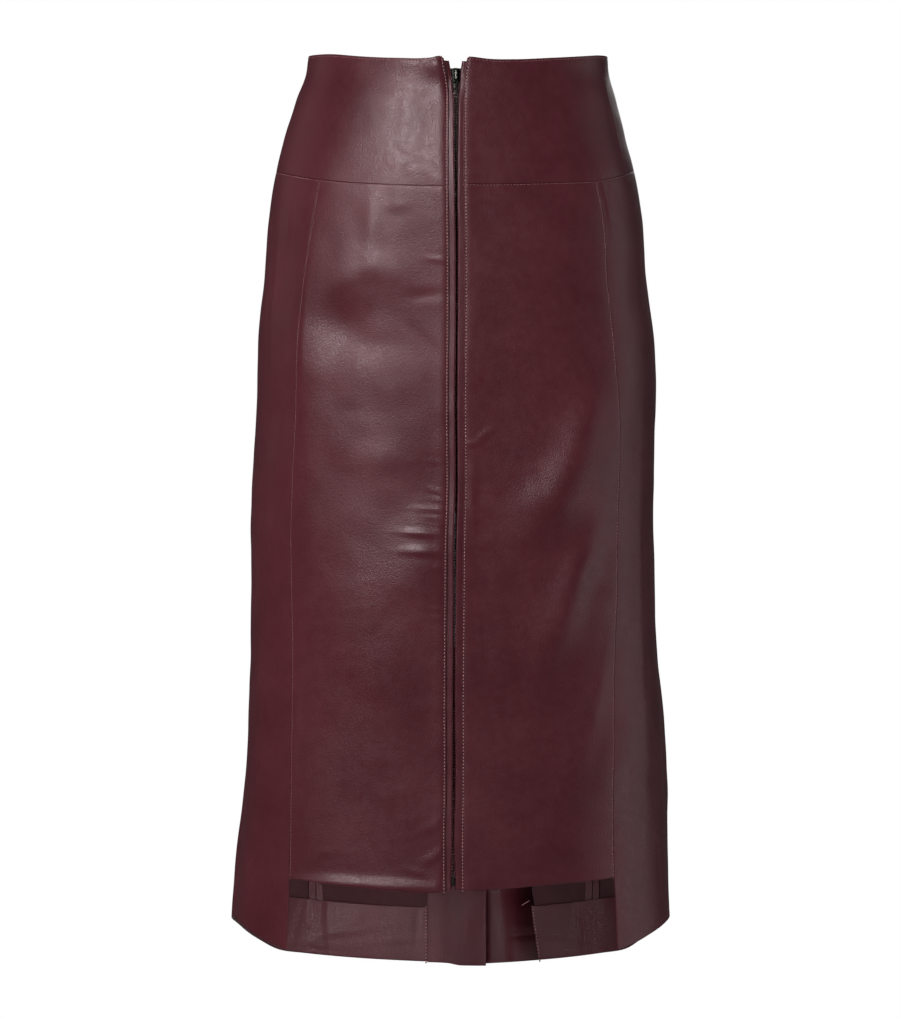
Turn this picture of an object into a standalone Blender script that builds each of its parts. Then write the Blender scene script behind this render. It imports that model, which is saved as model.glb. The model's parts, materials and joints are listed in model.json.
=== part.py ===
"""Leather pencil skirt with a shaped hip yoke, a full-length front zip and a stepped hem.

Metres, +Z up. The origin is the centre of the waist at the height of its side edge, where the
wearer holds the skirt. The front faces -Y, and the wearer's left side is +X.

Every sewn piece is a wall between two offsets of one hollow form. A place on the form is given by
its turn, the angle round the body from the centre front (positive to the wearer's left), and by
its height. Offsets are distances out of the form's outer face, so most are negative.
"""

import math

import bmesh
import bpy
import numpy as np
from mathutils import Matrix, Vector

MM = 0.001
DEG = math.pi / 180.0

# Driving sizes, in metres.
LEATHER = 1.4 * MM
FACING = 1.2 * MM
STRIP = 1.8 * MM
TAPE = 1.0 * MM
SEAM_GAP = 0.3 * MM
LAYER_GAP = 0.4 * MM

FACING_HEIGHT = 47.0 * MM
VENT_TOP = 572.0 * MM
VENT_UNDERLAY_TOP = 556.0 * MM
UNDERLAY_RIGHT = 24.1 * MM
UNDERLAY_LEFT = 27.6 * MM
UNDERLAY_EXTRA = 1.8 * MM
UNDERLAY_BULGE = 7.5 * MM
UNDERLAY_BULGE_START = 602.0 * MM
UNDERLAY_BULGE_END = 770.0 * MM
UNDERLAY_STEP_START = 12.0 * MM
VENT_FACING_START = 0.6 * MM
HEM_FACING_SHORT = 0.6 * MM
SLIT_FACING_SHORT = 1.0 * MM
VENT_FACING_ROWS = 7
UNDERLAY_DIVISIONS = 8

PANEL_EDGE = 6.3 * MM
PANEL_EDGE_FLARE = 3.8 * MM
FLARE_LENGTH = 34.0 * MM
STRIP_OUTER_EDGE = 12.5 * MM
STRIP_TOP = 8.8 * MM
TAPE_TOP = 15.7 * MM
TAPE_BOTTOM_SHORT = 1.2 * MM
STRIP_BOTTOM_SHORT = 0.5 * MM
TAPE_WIDTH = 13.5 * MM

# The zip's levels below the form's outer face.
TAPE_DEPTH = LEATHER + LAYER_GAP + STRIP + LAYER_GAP
SLIDER_DEPTH = LEATHER + LAYER_GAP + STRIP + SEAM_GAP
SLIDER_PLATE = 0.8 * MM
CHAIN_DEPTH = SLIDER_DEPTH + SLIDER_PLATE + SEAM_GAP
CHAIN_THICK = 2.2 * MM
CHAIN_HALF_WIDTH = 2.1 * MM
TAPE_BEAD_DEPTH = CHAIN_DEPTH + (CHAIN_THICK - TAPE) / 2
TAPE_BEAD_WIDTH = 1.6 * MM
TAPE_RAMP_WIDTH = 2.4 * MM

SLIDER_TOP = 13.9 * MM
SLIDER_LENGTH = 12.2 * MM
SLIDER_HALF_WIDTH = 3.5 * MM
WEDGE_HALF_WIDTH = 1.6 * MM
WEDGE_LENGTH = 4.6 * MM
CROWN_TOP = 14.9 * MM
CROWN_LENGTH = 10.1 * MM
CROWN_HALF_WIDTH = 0.75 * MM
CROWN_HEIGHT = 2.9 * MM
CROWN_ARCH = 0.8 * MM
CROWN_FOOT = 1.1 * MM

PULL_BAR_RADIUS = 0.55 * MM
PULL_AXIS_BELOW_WAIST = 22.9 * MM
PULL_AXIS_DEPTH = SLIDER_DEPTH - (CROWN_HEIGHT - CROWN_ARCH) / 2
PULL_LENGTH = 12.2 * MM
PULL_THICK = 0.8 * MM
PULL_HALF_WIDTH = 1.8 * MM
PULL_SLOT_HALF_WIDTH = 1.05 * MM
PULL_SLOT_LENGTH = 4.6 * MM

BOX_TOP = 692.4 * MM
BOX_LENGTH = 7.4 * MM
BOX_HALF_WIDTH = 2.0 * MM
BOX_DEPTH = 3.2 * MM
BOX_RIDGE_HALF_WIDTH = 1.1 * MM
BOX_RIDGE_HEIGHT = 1.4 * MM
BOX_FOOT_LENGTH = 1.3 * MM
BOX_FOOT_EXTRA = 0.5 * MM

# How finely the walls are divided.
COLUMN_STEP = 5.5 * DEG
HEIGHT_TO_COUNT_AT = 300.0 * MM
YOKE_ROWS = 6
BODY_ROWS = 15
STEP_ROWS = 3

# Horizontal sections of the form, in mm: (below_waist, right_half_width, left_half_width,
# front_depth, back_depth, squareness). Squareness is the share of a third harmonic that
# fills the corners of the ellipse.
SECTIONS = (
    (0, 124.5, 129.2, 86, 84, 0.010),
    (14, 126.0, 130.0, 88, 87, 0.010),
    (38, 134.3, 135.5, 93, 94, 0.012),
    (70, 145.2, 144.0, 99, 104, 0.014),
    (104, 154.3, 152.6, 104, 113, 0.016),
    (140, 158.8, 158.6, 107, 120, 0.018),
    (190, 161.6, 162.6, 109, 126, 0.020),
    (240, 166.8, 168.0, 110, 129, 0.022),
    (290, 168.4, 169.2, 110, 130, 0.024),
    (345, 171.8, 168.4, 110, 129, 0.025),
    (400, 173.6, 168.2, 110, 128, 0.026),
    (465, 173.6, 168.9, 110, 127, 0.028),
    (520, 174.0, 173.0, 111, 127, 0.028),
    (572, 175.9, 177.4, 111, 127, 0.028),
    (625, 179.5, 179.0, 112, 128, 0.028),
    (675, 185.3, 180.2, 113, 129, 0.028),
    (730, 189.3, 181.6, 114, 130, 0.028),
    (790, 192.0, 182.5, 115, 131, 0.028),
)

# The waist edge, in mm: (turn_deg either way, right_below_waist, left_below_waist). The
# front corners beside the zip turn up a little.
WAIST_EDGE = (
    (0, 6.2, 5.6),
    (4, 6.4, 6.2),
    (8, 8.3, 8.6),
    (22, 7.5, 8.2),
    (38, 5.0, 5.9),
    (55, 1.7, 3.2),
    (70, 1.0, 1.2),
    (90, 0.8, 0.6),
    (120, 1.5, 1.5),
    (150, 4.0, 4.0),
    (180, 6.0, 6.0),
)

# The seam under the yoke, in mm: (turn_deg either way, right_below_waist, left_below_waist).
YOKE_SEAM = (
    (0, 115.0, 113.0),
    (16, 113.5, 112.4),
    (32, 111.0, 110.7),
    (48, 107.3, 108.8),
    (63, 102.8, 104.0),
    (78, 99.6, 99.8),
    (90, 98.6, 98.4),
    (120, 102.0, 102.0),
    (150, 108.0, 108.0),
    (180, 112.0, 112.0),
)

# The front panels' hem, carried on as a level round the sides, in mm:
# (turn_deg either way, right_below_waist, left_below_waist).
FRONT_HEM = (
    (0, 703.7, 703.6),
    (6, 705.4, 703.2),
    (12, 704.7, 702.0),
    (23, 701.6, 698.9),
    (35, 697.8, 696.2),
    (46, 694.2, 693.2),
    (60, 692.0, 691.5),
    (90, 689.0, 689.0),
    (180, 712.0, 712.0),
)

# The hem of the sides and the back, in mm: (turn_deg either way, below_waist).
HEM = (
    (0, 757.0),
    (30, 757.0),
    (44, 755.0),
    (51, 750.3),
    (60, 743.2),
    (70, 736.8),
    (80, 732.2),
    (90, 730.6),
    (100, 733.6),
    (110, 740.4),
    (120, 749.6),
    (130, 760.2),
    (140, 766.8),
    (155, 771.8),
    (170, 775.2),
    (180, 776.8),
)

# The seams that run down, in degrees of turn:
# (below_waist_mm, front_seam_right, front_seam_left, back_seam).
UPRIGHT_SEAMS = (
    (95, 44.8, 47.8, 136.0),
    (145, 46.4, 49.2, 135.2),
    (200, 48.3, 49.1, 135.0),
    (260, 48.6, 49.7, 135.0),
    (320, 49.0, 51.0, 135.4),
    (390, 49.4, 50.5, 136.2),
    (460, 48.9, 49.3, 137.2),
    (545, 48.1, 46.7, 138.8),
    (620, 46.8, 44.9, 140.2),
    (694, 45.9, 44.2, 141.8),
    (790, 46.2, 45.4, 144.8),
)

# The zip's line and the gap between its two leather strips, in mm:
# (below_waist, x_of_centre, half_gap).
ZIP_LINE = (
    (0, 0.3, 6.6),
    (8, 0.4, 5.6),
    (16, 0.5, 4.3),
    (25, 0.7, 3.5),
    (34, 0.9, 2.7),
    (42, 0.9, 2.0),
    (58, 0.8, 1.8),
    (84, 0.7, 1.5),
    (114, 0.8, 1.1),
    (160, 1.3, 0.9),
    (210, 1.4, 0.7),
    (294, 0.8, 0.8),
    (380, 0.9, 0.8),
    (402, 0.2, 0.9),
    (460, -0.4, 0.7),
    (544, -1.1, 0.7),
    (604, -1.0, 1.1),
    (628, -1.2, 1.1),
    (650, -1.6, 0.7),
    (669, -1.7, 0.8),
    (688, -1.6, 1.6),
    (706, -1.4, 1.9),
)

# The outer edge of the facing on the left side of the vent, in mm: (below_waist, x).
VENT_FACING_EDGE = (
    (550, 42.0),
    (640, 54.0),
    (711, 64.0),
    (750, 69.2),
    (780, 73.2),
)

# Broad, soft folds that the hollow form holds: (turn_deg, below_waist_mm, half_length_mm,
# half_width_mm, lean_deg, out_mm). Length runs down the form before it leans.
FOLDS = (
    (-97, 700, 95, 17, 3, 3.0),
    (-86, 690, 90, 12, 2, -1.8),
    (97, 590, 95, 17, -3, 2.6),
    (86, 580, 80, 12, -2, -1.6),
    (-31, 205, 34, 30, 70, -2.4),
    (-29, 145, 46, 26, 20, -1.6),
    (-20, 124, 26, 40, 80, 1.4),
    (-36, 238, 22, 44, 75, 1.8),
    (-9, 410, 40, 18, 70, -1.2),
    (24, 300, 120, 26, -24, 1.8),
    (30, 420, 110, 22, -18, -1.5),
    (33, 560, 90, 24, -22, 1.6),
    (-124, 330, 130, 26, 14, 2.2),
    (-150, 300, 60, 26, 60, -2.0),
    (126, 360, 120, 28, -16, 2.0),
    (152, 290, 60, 24, -58, -1.8),
    (-160, 480, 90, 24, 18, 1.6),
    (158, 520, 100, 26, -14, 1.5),
)
FOLD_RADIUS = 150.0


def smooth_curve(table, column):
    """Returns a function that reads one column of a table at values of its first column."""
    rows = np.asarray(table, float)
    xs = rows[:, 0]
    ys = rows[:, column]
    slopes = np.gradient(ys, xs)

    def read(value):
        row = np.clip(np.searchsorted(xs, value) - 1, 0, len(xs) - 2)
        width = xs[row + 1] - xs[row]
        part = np.clip((value - xs[row]) / width, 0.0, 1.0)
        start = (1 + 2 * part) * (1 - part) ** 2
        end = part**2 * (3 - 2 * part)
        leaving = part * (1 - part) ** 2 * width
        arriving = part**2 * (part - 1) * width
        at_ends = start * ys[row] + end * ys[row + 1]
        return at_ends + leaving * slopes[row] + arriving * slopes[row + 1]

    return read


SECTION_CURVES = [smooth_curve(SECTIONS, column) for column in range(1, 6)]
SEAM_CURVES = {column: smooth_curve(UPRIGHT_SEAMS, column) for column in (1, 2, 3)}
ZIP_X = smooth_curve(ZIP_LINE, 1)
ZIP_GAP = smooth_curve(ZIP_LINE, 2)
VENT_FACING_X = smooth_curve(VENT_FACING_EDGE, 1)


def ramp(value, start, end):
    """Goes smoothly from 0 at start to 1 at end."""
    part = np.clip((np.asarray(value, float) - start) / (end - start), 0.0, 1.0)
    return part * part * (3 - 2 * part)


def fold_height(turn, z):
    """How far the soft folds lift the form at a place, in metres."""
    total = np.zeros(np.broadcast(turn, z).shape)
    for turn_deg, below, half_length, half_width, lean_deg, out in FOLDS:
        round_way = (turn - turn_deg * DEG + math.pi) % (2 * math.pi) - math.pi
        across = round_way * FOLD_RADIUS
        down = -z / MM - below
        lean = lean_deg * DEG
        along = down * math.cos(lean) + across * math.sin(lean)
        aside = across * math.cos(lean) - down * math.sin(lean)
        total = total + out * MM * np.exp(
            -((along / half_length) ** 2) - (aside / half_width) ** 2
        )
    return total


def bare_form(turn, z):
    """The form's outer face without its folds."""
    below = -np.asarray(z) / MM
    right, left, front, back, square = (read(below) for read in SECTION_CURVES)
    width = ((right + left) / 2 + (left - right) / 2 * np.sin(turn)) * MM
    depth = ((front + back) / 2 + (front - back) / 2 * np.cos(turn)) * MM
    x = width * (np.sin(turn) + square * np.sin(3 * turn)) / (1 - square)
    y = -depth * (np.cos(turn) - square * np.cos(3 * turn)) / (1 - square)
    return np.stack([x, y, np.broadcast_to(z, np.shape(x))], axis=-1)


def outward(turn, z):
    """The outward unit normal of the bare form."""
    step = 0.004
    drop = 1.5 * MM
    round_way = bare_form(turn + step, z) - bare_form(turn - step, z)
    up = bare_form(turn, z + drop) - bare_form(turn, z - drop)
    normal = np.cross(round_way, up)
    return normal / np.linalg.norm(normal, axis=-1, keepdims=True)


def place(turn, z, offset):
    """A point at an offset out of the form's outer face."""
    out = fold_height(turn, z) + offset
    return bare_form(turn, z) + outward(turn, z) * out[..., None]


def turn_at(x, z, back=False):
    """The turn at which the form passes a given x, on its front or its back."""
    x, z = np.broadcast_arrays(np.asarray(x, float), np.asarray(z, float))
    turn = np.full(x.shape, math.pi if back else 0.0)
    step = 0.01
    for _ in range(6):
        here = bare_form(turn, z)[..., 0]
        ahead = bare_form(turn + step, z)[..., 0]
        turn = turn + (x - here) / (ahead - here) * step
    return turn


def edge_line(table):
    """Returns the height of an edge as a function of turn. A table may give each side its own."""
    right_curve = smooth_curve(table, 1)
    left_curve = smooth_curve(table, len(table[0]) - 1)

    def height(turn):
        way = (np.asarray(turn) + math.pi) % (2 * math.pi) - math.pi
        angle = np.abs(way) / DEG
        right = right_curve(angle)
        left = left_curve(angle)
        return -(right + (left - right) * ramp(np.sin(way), -0.03, 0.03)) * MM

    return height


waist_edge = edge_line(WAIST_EDGE)
yoke_seam = edge_line(YOKE_SEAM)
front_hem = edge_line(FRONT_HEM)
hem = edge_line(HEM)


def seam_turn(column, side):
    """A seam that runs down, as a function of height. Side is -1 on the right and 1 on the left."""
    return lambda z: side * SEAM_CURVES[column](-z / MM) * DEG


def side_seam(side):
    """The side seam, a quarter turn from the centre front."""
    return lambda z: np.full(np.shape(z), side * math.pi / 2)


def centre_back(side):
    """The centre back, reached from one side or the other."""
    return lambda z: np.full(np.shape(z), side * math.pi)


def round_the_back(line):
    """The same line on the wearer's right, with its turn counted on past the centre back."""
    return lambda z: line(z) + 2 * math.pi


def zip_x(z):
    """The zip's own line: the x of its middle at a height."""
    return ZIP_X(-z / MM) * MM


def zip_gap(z):
    """Half the gap between the two leather strips at a height."""
    return ZIP_GAP(-z / MM) * MM


def from_zip(side, distance):
    """A line at a distance from the zip's own line, which may change with height."""

    def line(z):
        away = distance(z) if callable(distance) else distance
        return turn_at(zip_x(z) + side * away, z)

    return line


def panel_edge(z):
    """How far the front panels' edges lie from the zip's line. They flare at the waist."""
    return PANEL_EDGE + PANEL_EDGE_FLARE * (1 - ramp(-z, 0.0, FLARE_LENGTH))


def inset(line, distance):
    """Moves a line that runs down along the form, positive to the wearer's left."""

    def moved(z):
        turn = line(z)
        ahead = bare_form(turn + 0.01, z)
        behind = bare_form(turn - 0.01, z)
        speed = np.linalg.norm(ahead - behind, axis=-1) / 0.02
        return turn + distance / speed

    return moved


def body_rows(first, last):
    """The row lines of the panels under the yoke, from the yoke seam (0) to the hem."""

    def row(index, turn):
        top = yoke_seam(turn) - SEAM_GAP / 2
        step = front_hem(turn)
        bottom = hem(turn)
        if index <= BODY_ROWS:
            return top + (step - top) * index / BODY_ROWS
        return step + (bottom - step) * (index - BODY_ROWS) / STEP_ROWS

    return [lambda turn, i=index: row(i, turn) for index in range(first, last + 1)]


def yoke_rows():
    """The row lines of the yoke, from the waist edge to the yoke seam."""

    def row(index, turn):
        top = waist_edge(turn)
        bottom = yoke_seam(turn) + SEAM_GAP / 2
        return top + (bottom - top) * index / YOKE_ROWS

    return [lambda turn, i=index: row(i, turn) for index in range(YOKE_ROWS + 1)]


def spread(top, bottom, count):
    """Evenly spaced row lines between two lines that run round the form."""
    return [
        lambda turn, part=i / count: top(turn) + (bottom(turn) - top(turn)) * part
        for i in range(count + 1)
    ]


def level(height):
    """A row line at one height all round."""
    return lambda turn: np.full(np.shape(turn), height)


def raised(line, distance):
    """A row line moved up by a distance."""
    return lambda turn: line(turn) + distance


def between(start, end, count):
    """Evenly spaced upright lines from one line to another, both included."""

    def line(share):
        return lambda z: start(z) + (end(z) - start(z)) * share

    return [line(i / count) for i in range(count + 1)]


def grid_on(lines, rows):
    """Places on the form where the row lines cross the upright lines."""
    z = np.tile(np.linspace(-0.05, -0.70, len(rows))[:, None], (1, len(lines)))
    for _ in range(7):
        turn = np.stack([line(z[:, j]) for j, line in enumerate(lines)], axis=1)
        z = np.stack([row(turn[i]) for i, row in enumerate(rows)])
    return turn, z


def wall_mesh(name, outer, inner):
    """A closed wall between two grids of points that have the same shape."""
    mesh = bmesh.new()
    rows, columns = outer.shape[:2]
    out = [[mesh.verts.new(point) for point in line] for line in outer]
    back = [[mesh.verts.new(point) for point in line] for line in inner]
    for i in range(rows - 1):
        for j in range(columns - 1):
            square = ((i, j), (i + 1, j), (i + 1, j + 1), (i, j + 1))
            mesh.faces.new([out[a][b] for a, b in square])
            mesh.faces.new([back[a][b] for a, b in reversed(square)])
    rim = [(i, 0) for i in range(rows)]
    rim += [(rows - 1, j) for j in range(1, columns)]
    rim += [(i, columns - 1) for i in range(rows - 2, -1, -1)]
    rim += [(0, j) for j in range(columns - 2, 0, -1)]
    for (a, b), (c, d) in zip(rim, rim[1:] + rim[:1]):
        mesh.faces.new([out[c][d], out[a][b], back[a][b], back[c][d]])
    bmesh.ops.recalc_face_normals(mesh, faces=mesh.faces)
    return finished(name, mesh)


def finished(name, mesh):
    """Turns a bmesh into a mesh data block and frees it."""
    data = bpy.data.meshes.new(name)
    mesh.to_mesh(data)
    mesh.free()
    return data


def add_object(name, data, material, matrix=None, sharp_deg=40.0):
    """Links a named, smooth-shaded object with one material."""
    thing = bpy.data.objects.new(name, data)
    bpy.context.scene.collection.objects.link(thing)
    if matrix is not None:
        thing.matrix_world = matrix
    data.materials.append(material)
    data.shade_smooth()
    data.set_sharp_from_angle(angle=sharp_deg * DEG)
    return thing


def make_material(name, colour, roughness, metallic=0.0):
    """Makes a material with one Principled shader."""
    material = bpy.data.materials.new(name)
    material.use_nodes = True
    shader = material.node_tree.nodes["Principled BSDF"]
    shader.inputs["Base Color"].default_value = (*colour, 1.0)
    shader.inputs["Roughness"].default_value = roughness
    shader.inputs["Metallic"].default_value = metallic
    material.diffuse_color = (*colour, 1.0)
    return material


def columns_between(start, end):
    """The upright lines of a piece, about COLUMN_STEP apart."""
    middle = np.asarray(-HEIGHT_TO_COUNT_AT)
    turns = abs(float(end(middle)) - float(start(middle)))
    return between(start, end, max(2, round(turns / COLUMN_STEP)))


def add_wall(name, lines, rows, material, outer=0.0, inner=-LEATHER):
    """Makes one sewn piece from its upright lines and the row lines across it.

    Outer and inner are offsets, or functions of turn and height that give them.
    """
    turn, z = grid_on(lines, rows)
    faces = []
    for offset in (outer, inner):
        reach = offset(turn, z) if callable(offset) else np.full(turn.shape, offset)
        faces.append(place(turn, z, reach))
    return add_object(name, wall_mesh(name, *faces), material)


def add_yoke(leather):
    """The shaped yoke: two fronts that meet the zip, and one back between the side seams."""
    half = SEAM_GAP / 2
    for side, word in ((-1, "right"), (1, "left")):
        lines = columns_between(
            from_zip(side, panel_edge), inset(side_seam(side), -side * half)
        )
        add_wall(f"yoke_front_{word}", lines, yoke_rows(), leather)
    right_side = inset(round_the_back(side_seam(-1)), -half)
    lines = columns_between(inset(side_seam(1), half), right_side)
    add_wall("yoke_back", lines, yoke_rows(), leather)


def panel_lines(side):
    """The upright lines of one side's four panels, from the zip round to the centre back."""
    half = SEAM_GAP / 2
    front_seam = seam_turn(1 if side < 0 else 2, side)
    back_seam = seam_turn(3, side)
    edges = {
        "front_panel": (from_zip(side, panel_edge), inset(front_seam, -side * half)),
        "side_front": (
            inset(front_seam, side * half),
            inset(side_seam(side), -side * half),
        ),
        "side_back": (
            inset(side_seam(side), side * half),
            inset(back_seam, -side * half),
        ),
        "back_panel": (
            inset(back_seam, side * half),
            inset(centre_back(side), -side * half),
        ),
    }
    return {name: columns_between(*pair) for name, pair in edges.items()}


def add_panels(leather):
    """The panels under the yoke, each side from the zip round to the centre back."""
    long = body_rows(0, BODY_ROWS + STEP_ROWS)
    short = long[: BODY_ROWS + 1]
    for side, word in ((-1, "right"), (1, "left")):
        for name, lines in panel_lines(side).items():
            rows = short if name == "front_panel" else long
            add_wall(f"{name}_{word}", lines, rows, leather)


def underlay_outer(turn, z):
    """How deep the vent's underlay lies: on the right panel, then under the left facing."""
    x = bare_form(turn, z)[..., 0]
    on_panel = LEATHER + LAYER_GAP
    under_facing = on_panel + FACING + LAYER_GAP
    step = ramp(x, -UNDERLAY_STEP_START, -VENT_FACING_START)
    toward_edge = ramp(x, -VENT_FACING_START, UNDERLAY_LEFT * 1.3)
    toward_hem = ramp(-z, UNDERLAY_BULGE_START, UNDERLAY_BULGE_END)
    depth = on_panel + (under_facing - on_panel) * step
    return -(depth + UNDERLAY_BULGE * toward_edge * toward_hem)


def back_line(x):
    """An upright line at one x on the back."""
    return lambda z: turn_at(np.full(np.shape(z), x), z, back=True)


def vent_facing_edge(z):
    """The stitched edge of the vent's facing, which slants out toward the hem."""
    return turn_at(VENT_FACING_X(-z / MM) * MM, z, back=True)


def add_facings(leather):
    """The facings turned in along the hem and down the left side of the vent.

    They use the panels' own upright lines, so that both follow a fold in the same way.
    """
    outer = -(LEATHER + LAYER_GAP)
    half = SEAM_GAP / 2
    bottom = raised(hem, HEM_FACING_SHORT)
    rows = spread(raised(hem, FACING_HEIGHT), bottom, STEP_ROWS)
    left = panel_lines(1)
    lines = [inset(left["side_front"][0], SLIT_FACING_SHORT), *left["side_front"][1:-1]]
    lines += [side_seam(1), *left["side_back"][1:-1], seam_turn(3, 1)]
    lines += [*left["back_panel"][1:4], inset(vent_facing_edge, -half)]
    add_wall("hem_facing_left", lines, rows, leather, outer, outer - FACING)

    right = panel_lines(-1)
    lines = [inset(right["side_front"][0], -SLIT_FACING_SHORT), *right["side_front"][1:-1]]
    lines += [side_seam(-1), *right["side_back"][1:-1], seam_turn(3, -1)]
    lines += right["back_panel"][1:5]
    lines = [round_the_back(line) for line in lines]
    lines.append(back_line(-UNDERLAY_RIGHT - SEAM_GAP))
    add_wall("hem_facing_right", lines, rows, leather, outer, outer - FACING)

    lines = [inset(vent_facing_edge, half), *left["back_panel"][5:-1]]
    lines.append(back_line(VENT_FACING_START))
    rows = spread(level(-VENT_TOP), bottom, VENT_FACING_ROWS)
    add_wall("vent_facing_left", lines, rows, leather, outer, outer - FACING)


def add_vent_underlay(leather):
    """The piece behind the vent: sewn to the right panel and free at its left edge."""
    right_edge = back_line(-UNDERLAY_RIGHT)
    lines = between(back_line(UNDERLAY_LEFT), right_edge, UNDERLAY_DIVISIONS)
    bottom = raised(hem, -UNDERLAY_EXTRA)
    rows = spread(level(-VENT_UNDERLAY_TOP), bottom, UNDERLAY_DIVISIONS)
    add_wall(
        "vent_underlay_right",
        lines,
        rows,
        leather,
        underlay_outer,
        lambda turn, z: underlay_outer(turn, z) - FACING,
    )


def zip_rows(top, bottom):
    """Level lines for the long pieces beside the zip, at the heights of the panels' rows."""
    lines = [*yoke_rows()[1:-1], *body_rows(0, BODY_ROWS)[:-1]]
    heights = [float(row(np.asarray(0.0))) for row in lines]
    kept = [height for height in heights if bottom + 0.006 < height < top - 0.004]
    return [level(height) for height in (top, *kept, bottom)]


def tape_outer(turn, z):
    """The tape lies against the strip, and dips to its beaded edge between the teeth."""
    away = np.abs(bare_form(turn, z)[..., 0] - zip_x(z))
    bead_end = CHAIN_HALF_WIDTH + SEAM_GAP + TAPE_BEAD_WIDTH
    rise = ramp(away, bead_end, bead_end + TAPE_RAMP_WIDTH)
    return -(TAPE_BEAD_DEPTH + (TAPE_DEPTH - TAPE_BEAD_DEPTH) * rise)


def add_zip_sides(leather, tape_material):
    """The folded leather strips that cover the zip, and the zip's two tapes."""
    outer = -(LEATHER + LAYER_GAP)
    hem_height = float(front_hem(np.asarray(0.0)))
    strip_rows = zip_rows(-STRIP_TOP, hem_height + STRIP_BOTTOM_SHORT)
    tape_rows = zip_rows(-TAPE_TOP, hem_height + TAPE_BOTTOM_SHORT)
    bead_start = CHAIN_HALF_WIDTH + SEAM_GAP
    bead_end = bead_start + TAPE_BEAD_WIDTH
    stations = (
        bead_start,
        bead_end,
        bead_end + TAPE_RAMP_WIDTH / 2,
        bead_end + TAPE_RAMP_WIDTH,
        TAPE_WIDTH,
    )
    for side, word in ((-1, "right"), (1, "left")):
        lines = between(from_zip(side, zip_gap), from_zip(side, STRIP_OUTER_EDGE), 2)
        add_wall(f"zip_strip_{word}", lines, strip_rows, leather, outer, outer - STRIP)
        add_wall(
            f"zip_tape_{word}",
            [from_zip(side, station) for station in stations],
            tape_rows,
            tape_material,
            tape_outer,
            lambda turn, z: tape_outer(turn, z) - TAPE,
        )


def add_chain(metal):
    """The closed rows of teeth, as one bar between the slider and the bottom box."""
    top = -(SLIDER_TOP + WEDGE_LENGTH + 2 * SEAM_GAP)
    lines = between(from_zip(-1, CHAIN_HALF_WIDTH), from_zip(1, CHAIN_HALF_WIDTH), 2)
    rows = zip_rows(top, -BOX_TOP + SEAM_GAP)
    add_wall(
        "zip_chain", lines, rows, metal, -CHAIN_DEPTH, -CHAIN_DEPTH - CHAIN_THICK
    )


def zip_frame(below):
    """A frame on the form at the zip: X across, -Z down along the leather, -Y outwards."""
    z = np.asarray(-below)
    turn = turn_at(zip_x(z), z)
    here = place(turn, z, np.zeros(()))
    out = Vector(outward(turn, z))
    out.x = 0.0
    out.normalize()
    across = Vector((1.0, 0.0, 0.0))
    inwards = -out
    up = across.cross(inwards).normalized()
    matrix = Matrix((across, inwards, up)).transposed().to_4x4()
    matrix.translation = Vector(here)
    return matrix


def slider_frame():
    """The slider's frame: tilted as the leather is at its middle, with its origin at its top."""
    half = SLIDER_LENGTH / 2
    return zip_frame(SLIDER_TOP + half) @ Matrix.Translation((0.0, 0.0, half))


def block(mesh, low, high):
    """Adds a box between two corners to a bmesh."""
    size = [h - l for l, h in zip(low, high)]
    centre = [(h + l) / 2 for l, h in zip(low, high)]
    matrix = Matrix.Translation(centre) @ Matrix.Diagonal((*size, 1.0))
    bmesh.ops.create_cube(mesh, size=1.0, matrix=matrix)


def outline_plate(name, outline, y_front, y_back):
    """A plate with an outline in X and Z between two depths."""
    mesh = bmesh.new()
    front = mesh.faces.new([mesh.verts.new((x, y_front, z)) for x, z in outline])
    grown = bmesh.ops.extrude_face_region(mesh, geom=[front])
    moved = [item for item in grown["geom"] if isinstance(item, bmesh.types.BMVert)]
    bmesh.ops.translate(mesh, verts=moved, vec=(0.0, y_back - y_front, 0.0))
    bmesh.ops.recalc_face_normals(mesh, faces=mesh.faces)
    return finished(name, mesh)


def joined(name, shapes, operation="UNION"):
    """Joins mesh data blocks into one closed mesh by Booleans, or cuts the later ones out."""
    base = bpy.data.objects.new(name, shapes[0])
    bpy.context.scene.collection.objects.link(base)
    helpers = []
    for index, shape in enumerate(shapes[1:]):
        helper = bpy.data.objects.new(f"{name}_helper_{index}", shape)
        bpy.context.scene.collection.objects.link(helper)
        modifier = base.modifiers.new(f"step_{index}", "BOOLEAN")
        modifier.operation = operation
        modifier.object = helper
        helpers.append(helper)
    bpy.context.view_layer.update()
    graph = bpy.context.evaluated_depsgraph_get()
    result = bpy.data.meshes.new_from_object(base.evaluated_get(graph))
    for thing in [base, *helpers]:
        bpy.data.objects.remove(thing)
    result.name = name
    return result


def box_data(name, low, high):
    """A box between two corners."""
    mesh = bmesh.new()
    block(mesh, low, high)
    return finished(name, mesh)


def bar_data(name, radius, length, y, z, segments=12):
    """A round bar along X."""
    mesh = bmesh.new()
    turn = Matrix.Rotation(math.pi / 2, 4, "Y")
    bmesh.ops.create_cone(
        mesh,
        cap_ends=True,
        segments=segments,
        radius1=radius,
        radius2=radius,
        depth=length,
        matrix=Matrix.Translation((0.0, y, z)) @ turn,
    )
    return finished(name, mesh)


def plate_outline(half_width, top, bottom, shoulder, waist):
    """A slider plate: wide at its top, narrower at its mouth."""
    return (
        (-half_width, top - shoulder),
        (-half_width + shoulder, top),
        (half_width - shoulder, top),
        (half_width, top - shoulder),
        (half_width, bottom + waist * 2),
        (half_width - waist, bottom),
        (-half_width + waist, bottom),
        (-half_width, bottom + waist * 2),
    )


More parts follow.
